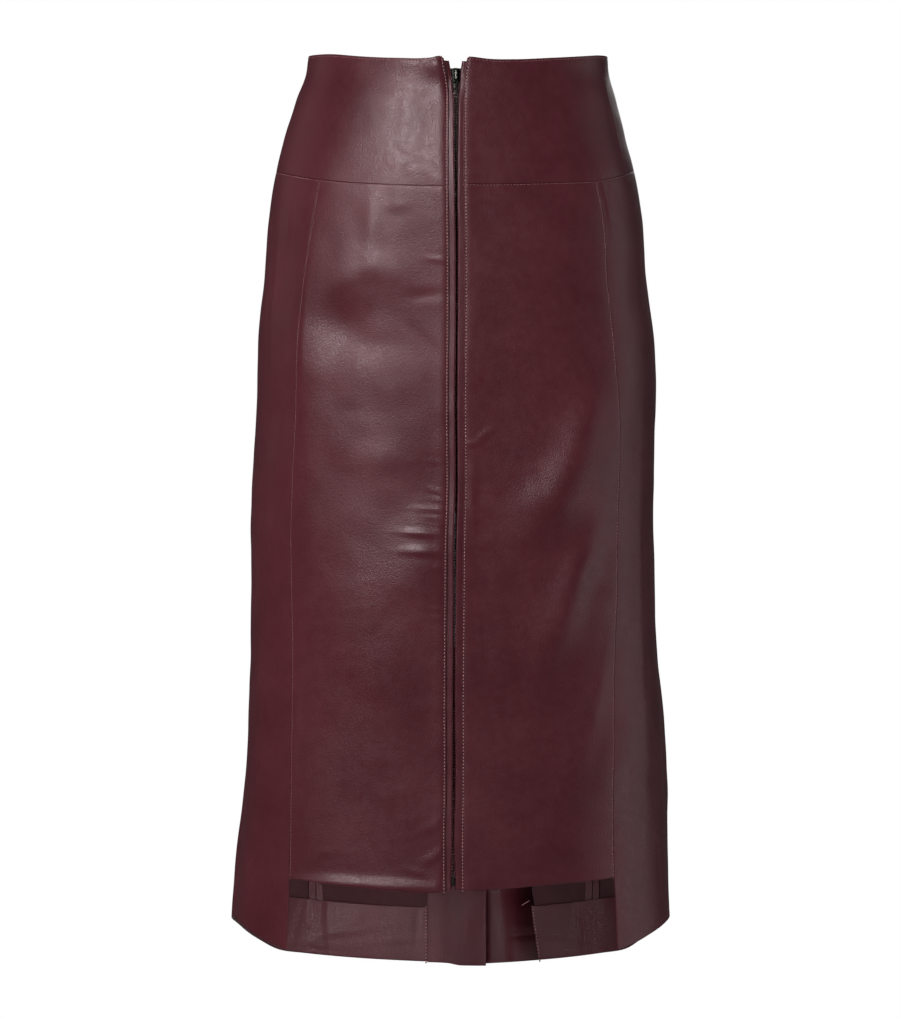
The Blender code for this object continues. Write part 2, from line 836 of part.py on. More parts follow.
def add_slider(metal):
    """The slider: two plates round the teeth, the wedge between them, and the crown."""
    matrix = slider_frame()
    top_plate = (SLIDER_DEPTH, SLIDER_DEPTH + SLIDER_PLATE)
    back = CHAIN_DEPTH + CHAIN_THICK + SEAM_GAP
    outline = plate_outline(SLIDER_HALF_WIDTH, 0.0, -SLIDER_LENGTH, 1.4 * MM, 0.5 * MM)
    overlap = 0.2 * MM
    crown_top = SLIDER_TOP - CROWN_TOP
    crown_bottom = crown_top - CROWN_LENGTH
    crown_out = SLIDER_DEPTH - CROWN_HEIGHT
    crown = outline_side_plate(
        "crown",
        (
            (crown_top, top_plate[0] + overlap),
            (crown_top, crown_out + CROWN_ARCH),
            (crown_top - CROWN_ARCH, crown_out),
            (crown_bottom + CROWN_ARCH, crown_out),
            (crown_bottom, crown_out + CROWN_ARCH),
            (crown_bottom, top_plate[0] + overlap),
        ),
        CROWN_HALF_WIDTH,
    )
    hole = box_data(
        "hole",
        (-2 * MM, crown_out + CROWN_ARCH, crown_bottom + CROWN_FOOT),
        (2 * MM, top_plate[0] - 0.05 * MM, crown_top - CROWN_FOOT),
    )
    arch = joined("arch", [crown, hole], "DIFFERENCE")
    body = joined(
        "zip_slider",
        [
            outline_plate("front_plate", outline, *top_plate),
            outline_plate("back_plate", outline, back, back + SLIDER_PLATE),
            box_data(
                "wedge",
                (-WEDGE_HALF_WIDTH, top_plate[1] - overlap, -WEDGE_LENGTH),
                (WEDGE_HALF_WIDTH, back + overlap, -0.3 * MM),
            ),
            arch,
        ],
    )
    add_object("zip_slider", body, metal, matrix, sharp_deg=30)


def outline_side_plate(name, outline, half_width):
    """A plate with an outline in Z and Y, centred on X = 0."""
    mesh = bmesh.new()
    face = mesh.faces.new([mesh.verts.new((-half_width, y, z)) for z, y in outline])
    grown = bmesh.ops.extrude_face_region(mesh, geom=[face])
    moved = [item for item in grown["geom"] if isinstance(item, bmesh.types.BMVert)]
    bmesh.ops.translate(mesh, verts=moved, vec=(2 * half_width, 0.0, 0.0))
    bmesh.ops.recalc_face_normals(mesh, faces=mesh.faces)
    return finished(name, mesh)


def add_pull(metal):
    """The pull, hanging from its bar in the crown. Its origin is on the bar's axis."""
    axis = Vector((0.0, PULL_AXIS_DEPTH, SLIDER_TOP - PULL_AXIS_BELOW_WAIST))
    matrix = slider_frame() @ Matrix.Translation(axis)
    half = PULL_THICK / 2
    end = -PULL_LENGTH
    corner = 0.7 * MM
    top = PULL_BAR_RADIUS * 0.8
    outline = (
        (-PULL_HALF_WIDTH, top),
        (PULL_HALF_WIDTH, top),
        (PULL_HALF_WIDTH, end + corner),
        (PULL_HALF_WIDTH - corner, end),
        (-PULL_HALF_WIDTH + corner, end),
        (-PULL_HALF_WIDTH, end + corner),
    )
    slot = box_data(
        "slot",
        (-PULL_SLOT_HALF_WIDTH, -2 * MM, -PULL_SLOT_LENGTH),
        (PULL_SLOT_HALF_WIDTH, 2 * MM, 2 * MM),
    )
    tab = joined("tab", [outline_plate("tab", outline, -half, half), slot], "DIFFERENCE")
    bar = bar_data("bar", PULL_BAR_RADIUS, 2 * PULL_HALF_WIDTH, 0.0, 0.0)
    pull = joined("zip_pull", [tab, bar])
    add_object("zip_pull", pull, metal, matrix, sharp_deg=30)


def add_bottom_box(metal):
    """The box that holds the zip's lower ends, with its raised ridge and flared foot."""
    matrix = zip_frame(BOX_TOP)
    front = SLIDER_DEPTH + SLIDER_PLATE
    overlap = 0.2 * MM
    foot = -BOX_LENGTH + BOX_FOOT_LENGTH
    ridge_width = BOX_RIDGE_HALF_WIDTH
    foot_width = ridge_width + BOX_FOOT_EXTRA
    ridge = (
        (-ridge_width, -0.6 * MM),
        (ridge_width, -0.6 * MM),
        (ridge_width, foot),
        (foot_width, -BOX_LENGTH + 0.2 * MM),
        (-foot_width, -BOX_LENGTH + 0.2 * MM),
        (-ridge_width, foot),
    )
    body = joined(
        "zip_bottom_box",
        [
            box_data(
                "box",
                (-BOX_HALF_WIDTH, front, -BOX_LENGTH),
                (BOX_HALF_WIDTH, front + BOX_DEPTH, 0.0),
            ),
            outline_plate("ridge", ridge, front - BOX_RIDGE_HEIGHT, front + overlap),
        ],
    )
    add_object("zip_bottom_box", body, metal, matrix, sharp_deg=30)


def clear_scene():
    for thing in list(bpy.data.objects):
        bpy.data.objects.remove(thing, do_unlink=True)


def main():
    clear_scene()
    leather = make_material("burgundy_leather", (0.075, 0.018, 0.026), 0.38)
    tape_material = make_material("black_tape", (0.008, 0.008, 0.009), 0.85)
    metal = make_material("gunmetal", (0.16, 0.16, 0.15), 0.32, 1.0)
    add_yoke(leather)
    add_panels(leather)
    add_facings(leather)
    add_vent_underlay(leather)
    add_zip_sides(leather, tape_material)
    add_chain(metal)
    add_slider(metal)
    add_pull(metal)
    add_bottom_box(metal)


main()
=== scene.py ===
"""Leather pencil skirt: the dressed model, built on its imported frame.

Metres, +Z up. The origin is the centre of the waist, the front faces -Y and the wearer's left
side is +X. Every sewn piece is a thin closed wall on one hollow form. A place on the form is
given by its turn, the angle round the body from the centre front (positive to the wearer's
left), and by its height. Offsets are distances out of the form's outer face.
"""

from __future__ import annotations

import json
import logging
import math
from dataclasses import astuple, dataclass, field
from enum import Enum
from typing import Callable, Sequence

import bmesh
import bpy
import numpy as np
from bpy.types import Material, Mesh, Node, NodeSocket, NodeTree, Object
from mathutils import Matrix, Vector

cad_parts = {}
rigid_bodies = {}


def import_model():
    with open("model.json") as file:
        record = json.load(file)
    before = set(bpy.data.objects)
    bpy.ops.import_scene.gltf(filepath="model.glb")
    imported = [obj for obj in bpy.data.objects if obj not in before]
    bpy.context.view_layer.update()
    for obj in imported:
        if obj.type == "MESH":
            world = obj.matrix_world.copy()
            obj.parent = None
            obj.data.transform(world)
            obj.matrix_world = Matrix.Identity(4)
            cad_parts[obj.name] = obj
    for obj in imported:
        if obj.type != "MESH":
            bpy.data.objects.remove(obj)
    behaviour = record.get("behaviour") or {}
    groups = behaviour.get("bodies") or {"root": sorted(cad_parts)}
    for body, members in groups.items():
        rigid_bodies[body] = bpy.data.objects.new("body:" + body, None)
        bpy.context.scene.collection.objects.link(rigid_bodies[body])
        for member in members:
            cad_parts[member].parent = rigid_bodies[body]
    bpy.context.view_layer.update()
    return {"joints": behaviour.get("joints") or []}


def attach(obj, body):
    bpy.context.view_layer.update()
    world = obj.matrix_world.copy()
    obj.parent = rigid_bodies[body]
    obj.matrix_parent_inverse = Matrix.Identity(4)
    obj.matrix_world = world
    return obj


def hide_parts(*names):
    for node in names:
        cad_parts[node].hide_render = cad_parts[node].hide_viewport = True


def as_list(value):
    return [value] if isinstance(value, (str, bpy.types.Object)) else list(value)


LOG = logging.getLogger("skirt")
MM = 0.001
DEG = math.pi / 180.0
RIGHT, LEFT = -1, 1
WORDS = {RIGHT: "right", LEFT: "left"}

Array = np.ndarray
Table = Sequence[Sequence[float]]
Line = Callable[[Array], Array]
Offset = Callable[[Array, Array], Array]
Finished = dict[str, Material]

# Horizontal sections of the form, in mm: (below_waist, right_half_width, left_half_width,
# front_depth, back_depth, squareness).
SECTIONS: Table = (
    (0, 123.4, 129.2, 86, 84, 0.010),
    (14, 125.2, 130.0, 88, 87, 0.010),
    (38, 134.3, 135.5, 93, 94, 0.012),
    (70, 145.2, 144.0, 99, 104, 0.014),
    (104, 154.3, 153.6, 104, 113, 0.016),
    (140, 158.8, 160.2, 107, 120, 0.018),
    (190, 161.6, 163.6, 109, 126, 0.020),
    (240, 166.8, 169.0, 110, 129, 0.022),
    (290, 168.4, 170.6, 110, 130, 0.024),
    (345, 171.8, 169.6, 110, 129, 0.025),
    (400, 173.6, 169.2, 110, 128, 0.026),
    (465, 173.2, 170.0, 110, 127, 0.028),
    (520, 174.0, 172.7, 111, 127, 0.028),
    (572, 175.9, 176.5, 111, 127, 0.028),
    (625, 179.3, 178.1, 112, 128, 0.028),
    (675, 183.3, 179.9, 113, 129, 0.028),
    (730, 186.7, 182.6, 114, 130, 0.028),
    (790, 189.6, 184.0, 115, 131, 0.028),
)

# Edges that run round, in mm: (turn_deg either way, right_below_waist, left_below_waist).
WAIST_EDGE: Table = (
    (0, 5.4, 4.8),
    (2.9, 5.5, 4.9),
    (3.4, 7.5, 6.8),
    (4.1, 7.3, 6.6),
    (4.9, 6.0, 5.9),
    (5.5, 5.3, 5.3),
    (6.4, 5.6, 5.3),
    (8, 6.6, 5.7),
    (12, 7.1, 6.7),
    (22, 6.3, 6.9),
    (38, 4.0, 5.0),
    (55, 1.2, 2.8),
    (70, 0.6, 1.0),
    (90, 0.6, 0.5),
    (120, 1.5, 1.5),
    (150, 4.0, 4.0),
    (180, 6.0, 6.0),
)
YOKE_SEAM: Table = (
    (0, 115.0, 113.0),
    (16, 113.5, 112.4),
    (32, 111.0, 110.7),
    (48, 107.3, 108.8),
    (63, 102.8, 104.0),
    (78, 99.6, 99.8),
    (90, 98.6, 98.4),
    (120, 102.0, 102.0),
    (150, 108.0, 108.0),
    (180, 112.0, 112.0),
)
FRONT_HEM: Table = (
    (0, 703.7, 703.6),
    (6, 705.4, 703.2),
    (12, 704.7, 702.0),
    (23, 701.6, 698.9),
    (35, 697.8, 696.2),
    (46, 694.2, 693.2),
    (60, 692.0, 691.5),
    (90, 689.0, 689.0),
    (180, 712.0, 712.0),
)

# The hem of the sides and the back, with the same columns.
HEM: Table = (
    (0, 757.0, 757.0),
    (30, 757.0, 757.0),
    (44, 755.0, 755.0),
    (51, 750.3, 750.3),
    (60, 743.2, 743.2),
    (70, 736.8, 736.8),
    (80, 732.2, 732.2),
    (90, 730.6, 730.6),
    (100, 735.6, 734.4),
    (110, 745.0, 741.6),
    (120, 754.2, 750.2),
    (130, 763.4, 762.4),
    (140, 767.2, 767.0),
    (155, 772.0, 772.8),
    (170, 775.3, 777.0),
    (180, 776.8, 778.4),
)

# Seams that run down, in degrees of turn:
# (below_waist_mm, front_seam_right, front_seam_left, back_seam).
UPRIGHT_SEAMS: Table = (
    (95, 44.8, 47.8, 136.0),
    (145, 46.4, 49.2, 135.2),
    (200, 48.3, 49.1, 135.0),
    (260, 48.6, 49.7, 135.0),
    (320, 49.0, 51.0, 135.4),
    (390, 49.4, 50.5, 136.2),
    (460, 48.9, 49.3, 137.2),
    (545, 48.1, 46.7, 138.8),
    (620, 46.8, 44.9, 140.2),
    (694, 45.9, 44.2, 141.8),
    (790, 46.2, 45.4, 144.8),
)

# The zip's line and the gap between its leather strips, in mm: (below_waist, x, half_gap).
ZIP_LINE: Table = (
    (0, 0.3, 6.6),
    (8, 0.4, 5.6),
    (16, 0.5, 4.3),
    (25, 0.7, 3.5),
    (34, 0.9, 2.7),
    (42, 0.9, 2.0),
    (58, 0.8, 1.8),
    (84, 0.7, 1.5),
    (114, 0.8, 1.1),
    (160, 1.3, 0.9),
    (210, 1.4, 0.7),
    (294, 0.8, 0.8),
    (380, 0.9, 0.8),
    (402, 0.2, 0.9),
    (460, -0.4, 0.7),
    (544, -1.1, 0.7),
    (604, -1.0, 1.1),
    (628, -1.2, 1.1),
    (650, -1.6, 0.7),
    (669, -1.7, 0.8),
    (688, -1.6, 1.6),
    (706, -1.4, 1.9),
)

# The stitched edge of the vent's facing, in mm: (below_waist, x).
VENT_FACING_EDGE: Table = (
    (550, 42.0),
    (640, 54.0),
    (711, 64.0),
    (750, 69.2),
    (780, 73.2),
)

# Broad folds of the form: (turn_deg, below_waist_mm, half_length_mm, half_width_mm, lean_deg,
# out_mm, pinch). Length runs down before it leans. Pinch adds a trough on each side.
FOLDS: Table = (
    (-97, 700, 95, 17, 3, 3.0, 0),
    (-86, 690, 90, 12, 2, -1.8, 0),
    (97, 590, 95, 17, -3, 2.6, 0),
    (86, 580, 80, 12, -2, -1.6, 0),
    (-45, 275, 120, 22, 2, 4.6, 0),
    (-29, 186, 40, 32, 86, 2.8, 0),
    (-31, 232, 32, 20, 70, -2.9, 0),
    (-32, 270, 36, 20, 80, 0.6, 0),
    (-20, 476, 46, 110, 90, 9.0, 0),
    (-24, 330, 46, 56, 90, 1.6, 0),
    (-7, 428, 20, 44, 88, 5.0, 0),
    (-13, 4, 40, 20, 90, 3.8, 0),
    (35.5, 322, 42, 17, -17, 4.8, 0),
    (27.5, 373, 36, 21, -25, 6.0, 0),
    (41, 356, 60, 26, -21, 4.0, 0),
    (34.5, 434, 38, 15, -26, 4.2, 0),
    (28, 484, 36, 15, -19, 3.2, 0),
    (45, 470, 60, 26, -22, 1.6, 0),
    (-124, 330, 130, 26, 14, 2.2, 0),
    (-150, 300, 60, 26, 60, -2.0, 0),
    (126, 360, 120, 28, -16, 2.0, 0),
    (152, 290, 60, 24, -58, -1.8, 0),
    (-160, 480, 90, 24, 18, 1.6, 0),
    (158, 520, 100, 26, -14, 1.5, 0),
)

# Creases and puckers, with the same columns as the folds.
CREASES: Table = (
    # The stiff centre front stands a little proud of the panels beside it.
    (0, 95, 85, 19, 0, 2.3, 0),
    (0, 420, 320, 15, 0, 1.2, 0),
    # Puckers beside the zip's stitching on the right front panel.
    (-5.1, 176, 7, 3.2, 80, 0.50, 0.6),
    (-8.0, 206, 12, 6.0, 95, -0.75, 0.3),
    (-10.7, 236, 20, 6.0, 38, -0.50, 0.2),
    (-5.2, 369, 6, 2.4, 62, 0.70, 0.6),
    (-3.9, 377, 4, 2.2, 80, 0.50, 0.6),
    (-6.6, 385, 9, 2.6, 84, 0.95, 0.5),
    (-5.2, 392, 7, 2.4, 72, 0.80, 0.5),
    (-3.9, 398, 4, 2.2, 82, 0.55, 0.6),
    (-8.0, 405, 13, 3.4, 86, 1.30, 0.4),
    (-8.2, 420, 13, 4.2, 88, 1.25, 0.4),
    (-4.2, 434, 5, 3.2, 70, 0.55, 0.4),
    (-3.9, 468, 4, 2.6, 80, 0.40, 0.6),
    (-4.2, 476, 5, 2.6, 90, 0.45, 0.8),
    (-5.2, 345, 5, 3.0, 84, 0.25, 0.8),
    (-9.9, 554, 16, 10, -56, 0.45, 0),
    (-5.4, 649, 9, 4.0, -44, 0.45, 0.6),
    (-5.1, 675, 8, 4.0, -38, 0.90, 0.4),
    # Drags on the left front panel, beside the zip and across the thigh.
    (7.4, 323, 9, 3.4, -45, 0.75, 0.5),
    (9.4, 369, 8, 5, 6, 0.50, 0),
    (20.5, 373, 14, 6, 6, 0.45, 0),
    (7.3, 412, 9, 5, -56, 0.35, 0.2),
    (4.6, 330, 5, 2.6, -88, 0.55, 1.0),
    (5.0, 352, 16, 3.0, 3, 0.45, 0.6),
    (4.4, 377, 20, 3.0, 2, 0.75, 0.5),
    (20, 540, 46, 12, -24, 0.60, 0),
    (41, 540, 60, 9, -16, 0.55, 0.4),
    (27, 628, 56, 10, -20, 0.50, 0.4),
    # The yoke: a roll beside the zip, a tight waist corner and faint drags.
    (-5.6, 64, 50, 5.0, 1, 0.60, 0),
    (-6.5, 13.5, 12, 11, 86, 3.00, 0),
    (-12.0, 88, 22, 5.0, 72, 0.12, 0.6),
    (-10.0, 101, 16, 4.0, 96, 0.12, 0.6),
    (-6.2, 83, 8, 3.6, 25, 0.35, 0.3),
    (-6.0, 101, 6, 3.0, 40, -0.35, 0.3),
    (-17.0, 80, 14, 1.4, 84, 0.25, 1.0),
    (6.2, 104, 10, 3.0, -86, 0.30, 1.0),
    (11.0, 127, 20, 2.0, 91, 0.22, 0.8),
    (52, 128, 20, 4.0, 8, 0.70, 0.8),
    (70, 60, 26, 6.0, -8, 0.50, 0.6),
    # The right front panel's broad, uneven surface.
    (-16.8, 131, 9, 4.5, -85, 0.35, 0),
    (-24.3, 146, 26, 8, 1, 1.20, 0),
    (-33.5, 172, 18, 12, -36, 0.70, 0),
    (-31.0, 189, 22, 12, -56, 1.60, 0),
    (-20.5, 186, 18, 11, 58, 1.10, 0),
    (-14, 252, 18, 12, 75, -0.45, 0),
    (-46.5, 240, 60, 5, 2, 0.90, 0),
    (-21, 342, 36, 16, 92, 0.70, 0),
    (-21.5, 235, 15, 12, -85, 0.90, 0),
    (-28, 302, 16, 7, 82, -0.16, 0.2),
    (-21.5, 445, 9, 4.0, -77, 0.16, 0.3),
    (-24.5, 468, 15, 4.0, -83, 0.18, 0.3),
    (-15, 473, 18, 10, -41, -0.50, 0),
    (-23, 549, 44, 14, 39, -1.00, 0),
    (-47, 591, 70, 6, 0, 0.90, 0),
    (-33.6, 672, 7, 4, -73, 0.35, 0.3),
    (-12.2, 620, 8, 6, -70, 0.28, 0),
    (-17.3, 626, 8, 6, -62, 0.25, 0),
    # Faint upright drags on the right side front panel.
    (-60, 150, 30, 5.0, 4, 0.45, 0.3),
    (-66, 185, 40, 8.0, -3, 0.55, 0.2),
    (-58, 320, 70, 7.0, 2, 0.35, 0.3),
    (-63, 470, 80, 8.0, -2, 0.45, 0.3),
    # The hem of the front, rolled softly.
    (-31, 697, 36, 5.0, 88, 2.00, 0),
    (-15, 701, 32, 5.0, 88, 2.10, 0),
    (-9, 688, 8, 4.0, 70, 0.50, 0.5),
    (20, 694, 60, 5.0, -88, 0.35, 0.4),
    # Sides and back.
    (-60, 420, 150, 9, 2, 0.45, 0.3),
    (-66, 230, 90, 8, 4, 0.35, 0.3),
    (64, 470, 160, 9, -2, 0.45, 0.3),
    (71, 700, 26, 6, 4, -0.50, 0.4),
    (-118, 128, 34, 6, 20, 0.60, 0.5),
    (122, 132, 32, 6, -24, 0.60, 0.5),
    (-140, 210, 40, 9, 62, 0.70, 0.4),
    (142, 224, 44, 9, -56, 0.70, 0.4),
    (-165, 168, 36, 8, 74, 0.60, 0.4),
    (166, 178, 34, 8, -70, 0.60, 0.4),
    (-108, 470, 90, 9, 10, 0.50, 0.4),
    (112, 500, 96, 9, -8, 0.50, 0.4),
    (-150, 420, 60, 9, 30, 0.45, 0.4),
    (148, 440, 64, 9, -26, 0.45, 0.4),
    (-172, 560, 44, 5, 8, 0.40, 0.6),
    (171, 600, 44, 5, -8, 0.40, 0.6),
    (-158, 700, 30, 5, 10, 0.50, 0.6),
    # The back hem as it shows inside: soft ripples along the fold and an upright crease.
    (-166, 757, 24, 3.2, 84, -0.60, 0.3),
    (-151, 749, 30, 4.0, 80, -0.75, 0.3),
    (-144, 759, 14, 3.2, 96, -0.55, 0.3),
    (-136, 741, 20, 4.5, 14, -0.50, 0.3),
    (-171, 735, 24, 2.8, 4, -0.55, 0.6),
    (172, 738, 20, 7.0, 20, -0.50, 0.3),
    (156, 752, 22, 4.0, -82, -0.50, 0.3),
    (146, 733, 24, 5.0, -12, -0.50, 0.3),
    (150, 716, 30, 5, -6, 0.50, 0.6),
)

# Small ripples all over the leather: (wavelength_mm, height_mm, how_many).
RIPPLES: Table = (
    (150, 0.55, 14),
    (62, 0.22, 18),
    (27, 0.07, 22),
)


class Curve:
    """A smooth curve through one column of a table."""

    def __init__(self, table: Table, column: int) -> None:
        """Sets the curve's points and its slopes at them.

        Args:
            table: rows of numbers, with the first column rising.
            column: the column that the curve passes through.
        """
        rows = np.asarray(table, float)
        self.xs = rows[:, 0]
        self.ys = rows[:, column]
        self.slopes = np.gradient(self.ys, self.xs)

    def __call__(self, value: Array) -> Array:
        """Returns the curve's height at values of the first column."""
        row = np.clip(np.searchsorted(self.xs, value) - 1, 0, len(self.xs) - 2)
        width = self.xs[row + 1] - self.xs[row]
        part = np.clip((value - self.xs[row]) / width, 0.0, 1.0)
        start = (1 + 2 * part) * (1 - part) ** 2
        end = part**2 * (3 - 2 * part)
        leaving = part * (1 - part) ** 2 * width
        arriving = part**2 * (part - 1) * width
        at_ends = start * self.ys[row] + end * self.ys[row + 1]
        return at_ends + leaving * self.slopes[row] + arriving * self.slopes[row + 1]


def ramp(value: Array, start: float, end: float) -> Array:
    """Goes smoothly from 0 at start to 1 at end."""
    part = np.clip((np.asarray(value, float) - start) / (end - start), 0.0, 1.0)
    return part * part * (3 - 2 * part)


def bell(value: Array) -> Array:
    """Falls from 1 at zero towards 0 on either side."""
    return np.exp(-(value**2))


def wrapped(angle: Array) -> Array:
    """Brings an angle to within half a turn of zero."""
    return (angle + math.pi) % (2 * math.pi) - math.pi


def placed(name: str, data: bpy.types.ID) -> Object:
    """Makes an object of mesh, curve, light or camera data and links it to the scene."""
    thing = bpy.data.objects.new(name, data)
    bpy.context.scene.collection.objects.link(thing)
    return thing


def meshed(name: str, mesh: bmesh.types.BMesh) -> Mesh:
    """Turns a bmesh into mesh data and frees it."""
    data = bpy.data.meshes.new(name)
    mesh.to_mesh(data)
    mesh.free()
    return data


def evaluated(thing: Object) -> Mesh:
    """Returns an object's evaluated shape as plain mesh data and removes the object."""
    graph = bpy.context.evaluated_depsgraph_get()
    data = bpy.data.meshes.new_from_object(thing.evaluated_get(graph))
    bpy.data.objects.remove(thing)
    return data


@dataclass
class HollowForm:
    """The filled-out form that every sewn piece follows."""

    sections: Table = SECTIONS
    folds: Table = FOLDS
    creases: Table = CREASES
    ripples: Table = RIPPLES
    fold_radius_mm: float = 150.0
    held_below_mm: tuple[float, ...] = (20.0, 697.0)
    held_length_mm: float = 17.0
    held_width_mm: float = 9.0
    seed: int = 11

    TURN_STEP = 0.01
    NORMAL_STEPS = (0.004, 1.5 * MM)

    def __post_init__(self) -> None:
        """Reads the tables and draws the ripples' directions."""
        self.curves = [Curve(self.sections, column) for column in range(1, 6)]
        draw = np.random.default_rng(self.seed)
        self.waves = []
        for wavelength, height, count in self.ripples:
            ways = draw.normal(size=(int(count), 3))
            ways /= np.linalg.norm(ways, axis=1, keepdims=True)
            phases = draw.uniform(0, 2 * math.pi, int(count))
            share = height * MM / math.sqrt(count / 2)
            self.waves.append((2 * math.pi / (wavelength * MM) * ways, phases, share))

    def bare(self, turn: Array, z: Array) -> Array:
        """Returns points of the outer face without folds."""
        below = -np.asarray(z) / MM
        right, left, front, back, square = (curve(below) for curve in self.curves)
        width = ((right + left) / 2 + (left - right) / 2 * np.sin(turn)) * MM
        depth = ((front + back) / 2 + (front - back) / 2 * np.cos(turn)) * MM
        x = width * (np.sin(turn) + square * np.sin(3 * turn)) / (1 - square)
        y = -depth * (np.cos(turn) - square * np.cos(3 * turn)) / (1 - square)
        return np.stack([x, y, np.broadcast_to(z, np.shape(x))], axis=-1)

    def outward(self, turn: Array, z: Array) -> Array:
        """Returns the outward unit normals of the bare form."""
        step, drop = self.NORMAL_STEPS
        round_way = self.bare(turn + step, z) - self.bare(turn - step, z)
        up = self.bare(turn, z + drop) - self.bare(turn, z - drop)
        normal = np.cross(round_way, up)
        return normal / np.linalg.norm(normal, axis=-1, keepdims=True)

    def raised(self, turn: Array, z: Array, table: Table) -> Array:
        """Returns how far the ridges of a table lift the surface, in metres.

        Args:
            turn: turns of the places.
            z: heights of the places.
            table: rows with the columns of FOLDS.
        """
        total = np.zeros(np.broadcast(turn, z).shape)
        for turn_deg, below, half_length, half_width, lean_deg, out, pinch in table:
            across = wrapped(turn - turn_deg * DEG) * self.fold_radius_mm
            down = -z / MM - below
            lean = lean_deg * DEG
            along = (down * math.cos(lean) + across * math.sin(lean)) / half_length
            aside = (across * math.cos(lean) - down * math.sin(lean)) / half_width
            shape = (1 - 2 * pinch * aside**2) * bell(aside)
            total = total + out * MM * shape * bell(along)
        return total

    def lift(self, turn: Array, z: Array) -> Array:
        """Returns the folds, creases and ripples together, in metres."""
        fine = self.raised(turn, z, self.creases)
        points = self.bare(turn, z)
        for ways, phases, share in self.waves:
            angles = points @ ways.T + phases
            fine = fine + share * np.sin(angles).sum(axis=-1)
        return self.raised(turn, z, self.folds) + fine * self.give(turn, z)

    def give(self, turn: Array, z: Array) -> Array:
        """Returns how freely the leather creases: not at all where the zip's metal holds it."""
        across = wrapped(turn) * self.fold_radius_mm
        held = np.zeros(np.shape(across + z))
        for below in self.held_below_mm:
            down = (-z / MM - below) / self.held_length_mm
            held = np.maximum(held, np.exp(-((across / self.held_width_mm) ** 4) - down**4))
        return 1 - held

    def place(self, turn: Array, z: Array, offset: Array) -> Array:
        """Returns points at an offset out of the folded outer face."""
        out = self.lift(turn, z) + offset
        return self.bare(turn, z) + self.outward(turn, z) * out[..., None]

    def turn_at(self, x: Array, z: Array, back: bool = False) -> Array:
        """Returns the turn at which the form passes a given x.

        Args:
            x: the sideways places.
            z: the heights.
            back: whether the place is on the back.
        """
        x, z = np.broadcast_arrays(np.asarray(x, float), np.asarray(z, float))
        turn = np.full(x.shape, math.pi if back else 0.0)
        for _ in range(5):
            here = self.bare(turn, z)[..., 0]
            ahead = self.bare(turn + self.TURN_STEP, z)[..., 0]
            turn = turn + (x - here) / (ahead - here) * self.TURN_STEP
        return turn

    def speed(self, turn: Array, z: Array) -> Array:
        """Returns metres round the form for each radian of turn."""
        span = self.bare(turn + self.TURN_STEP, z) - self.bare(turn - self.TURN_STEP, z)
        return np.linalg.norm(span, axis=-1) / (2 * self.TURN_STEP)


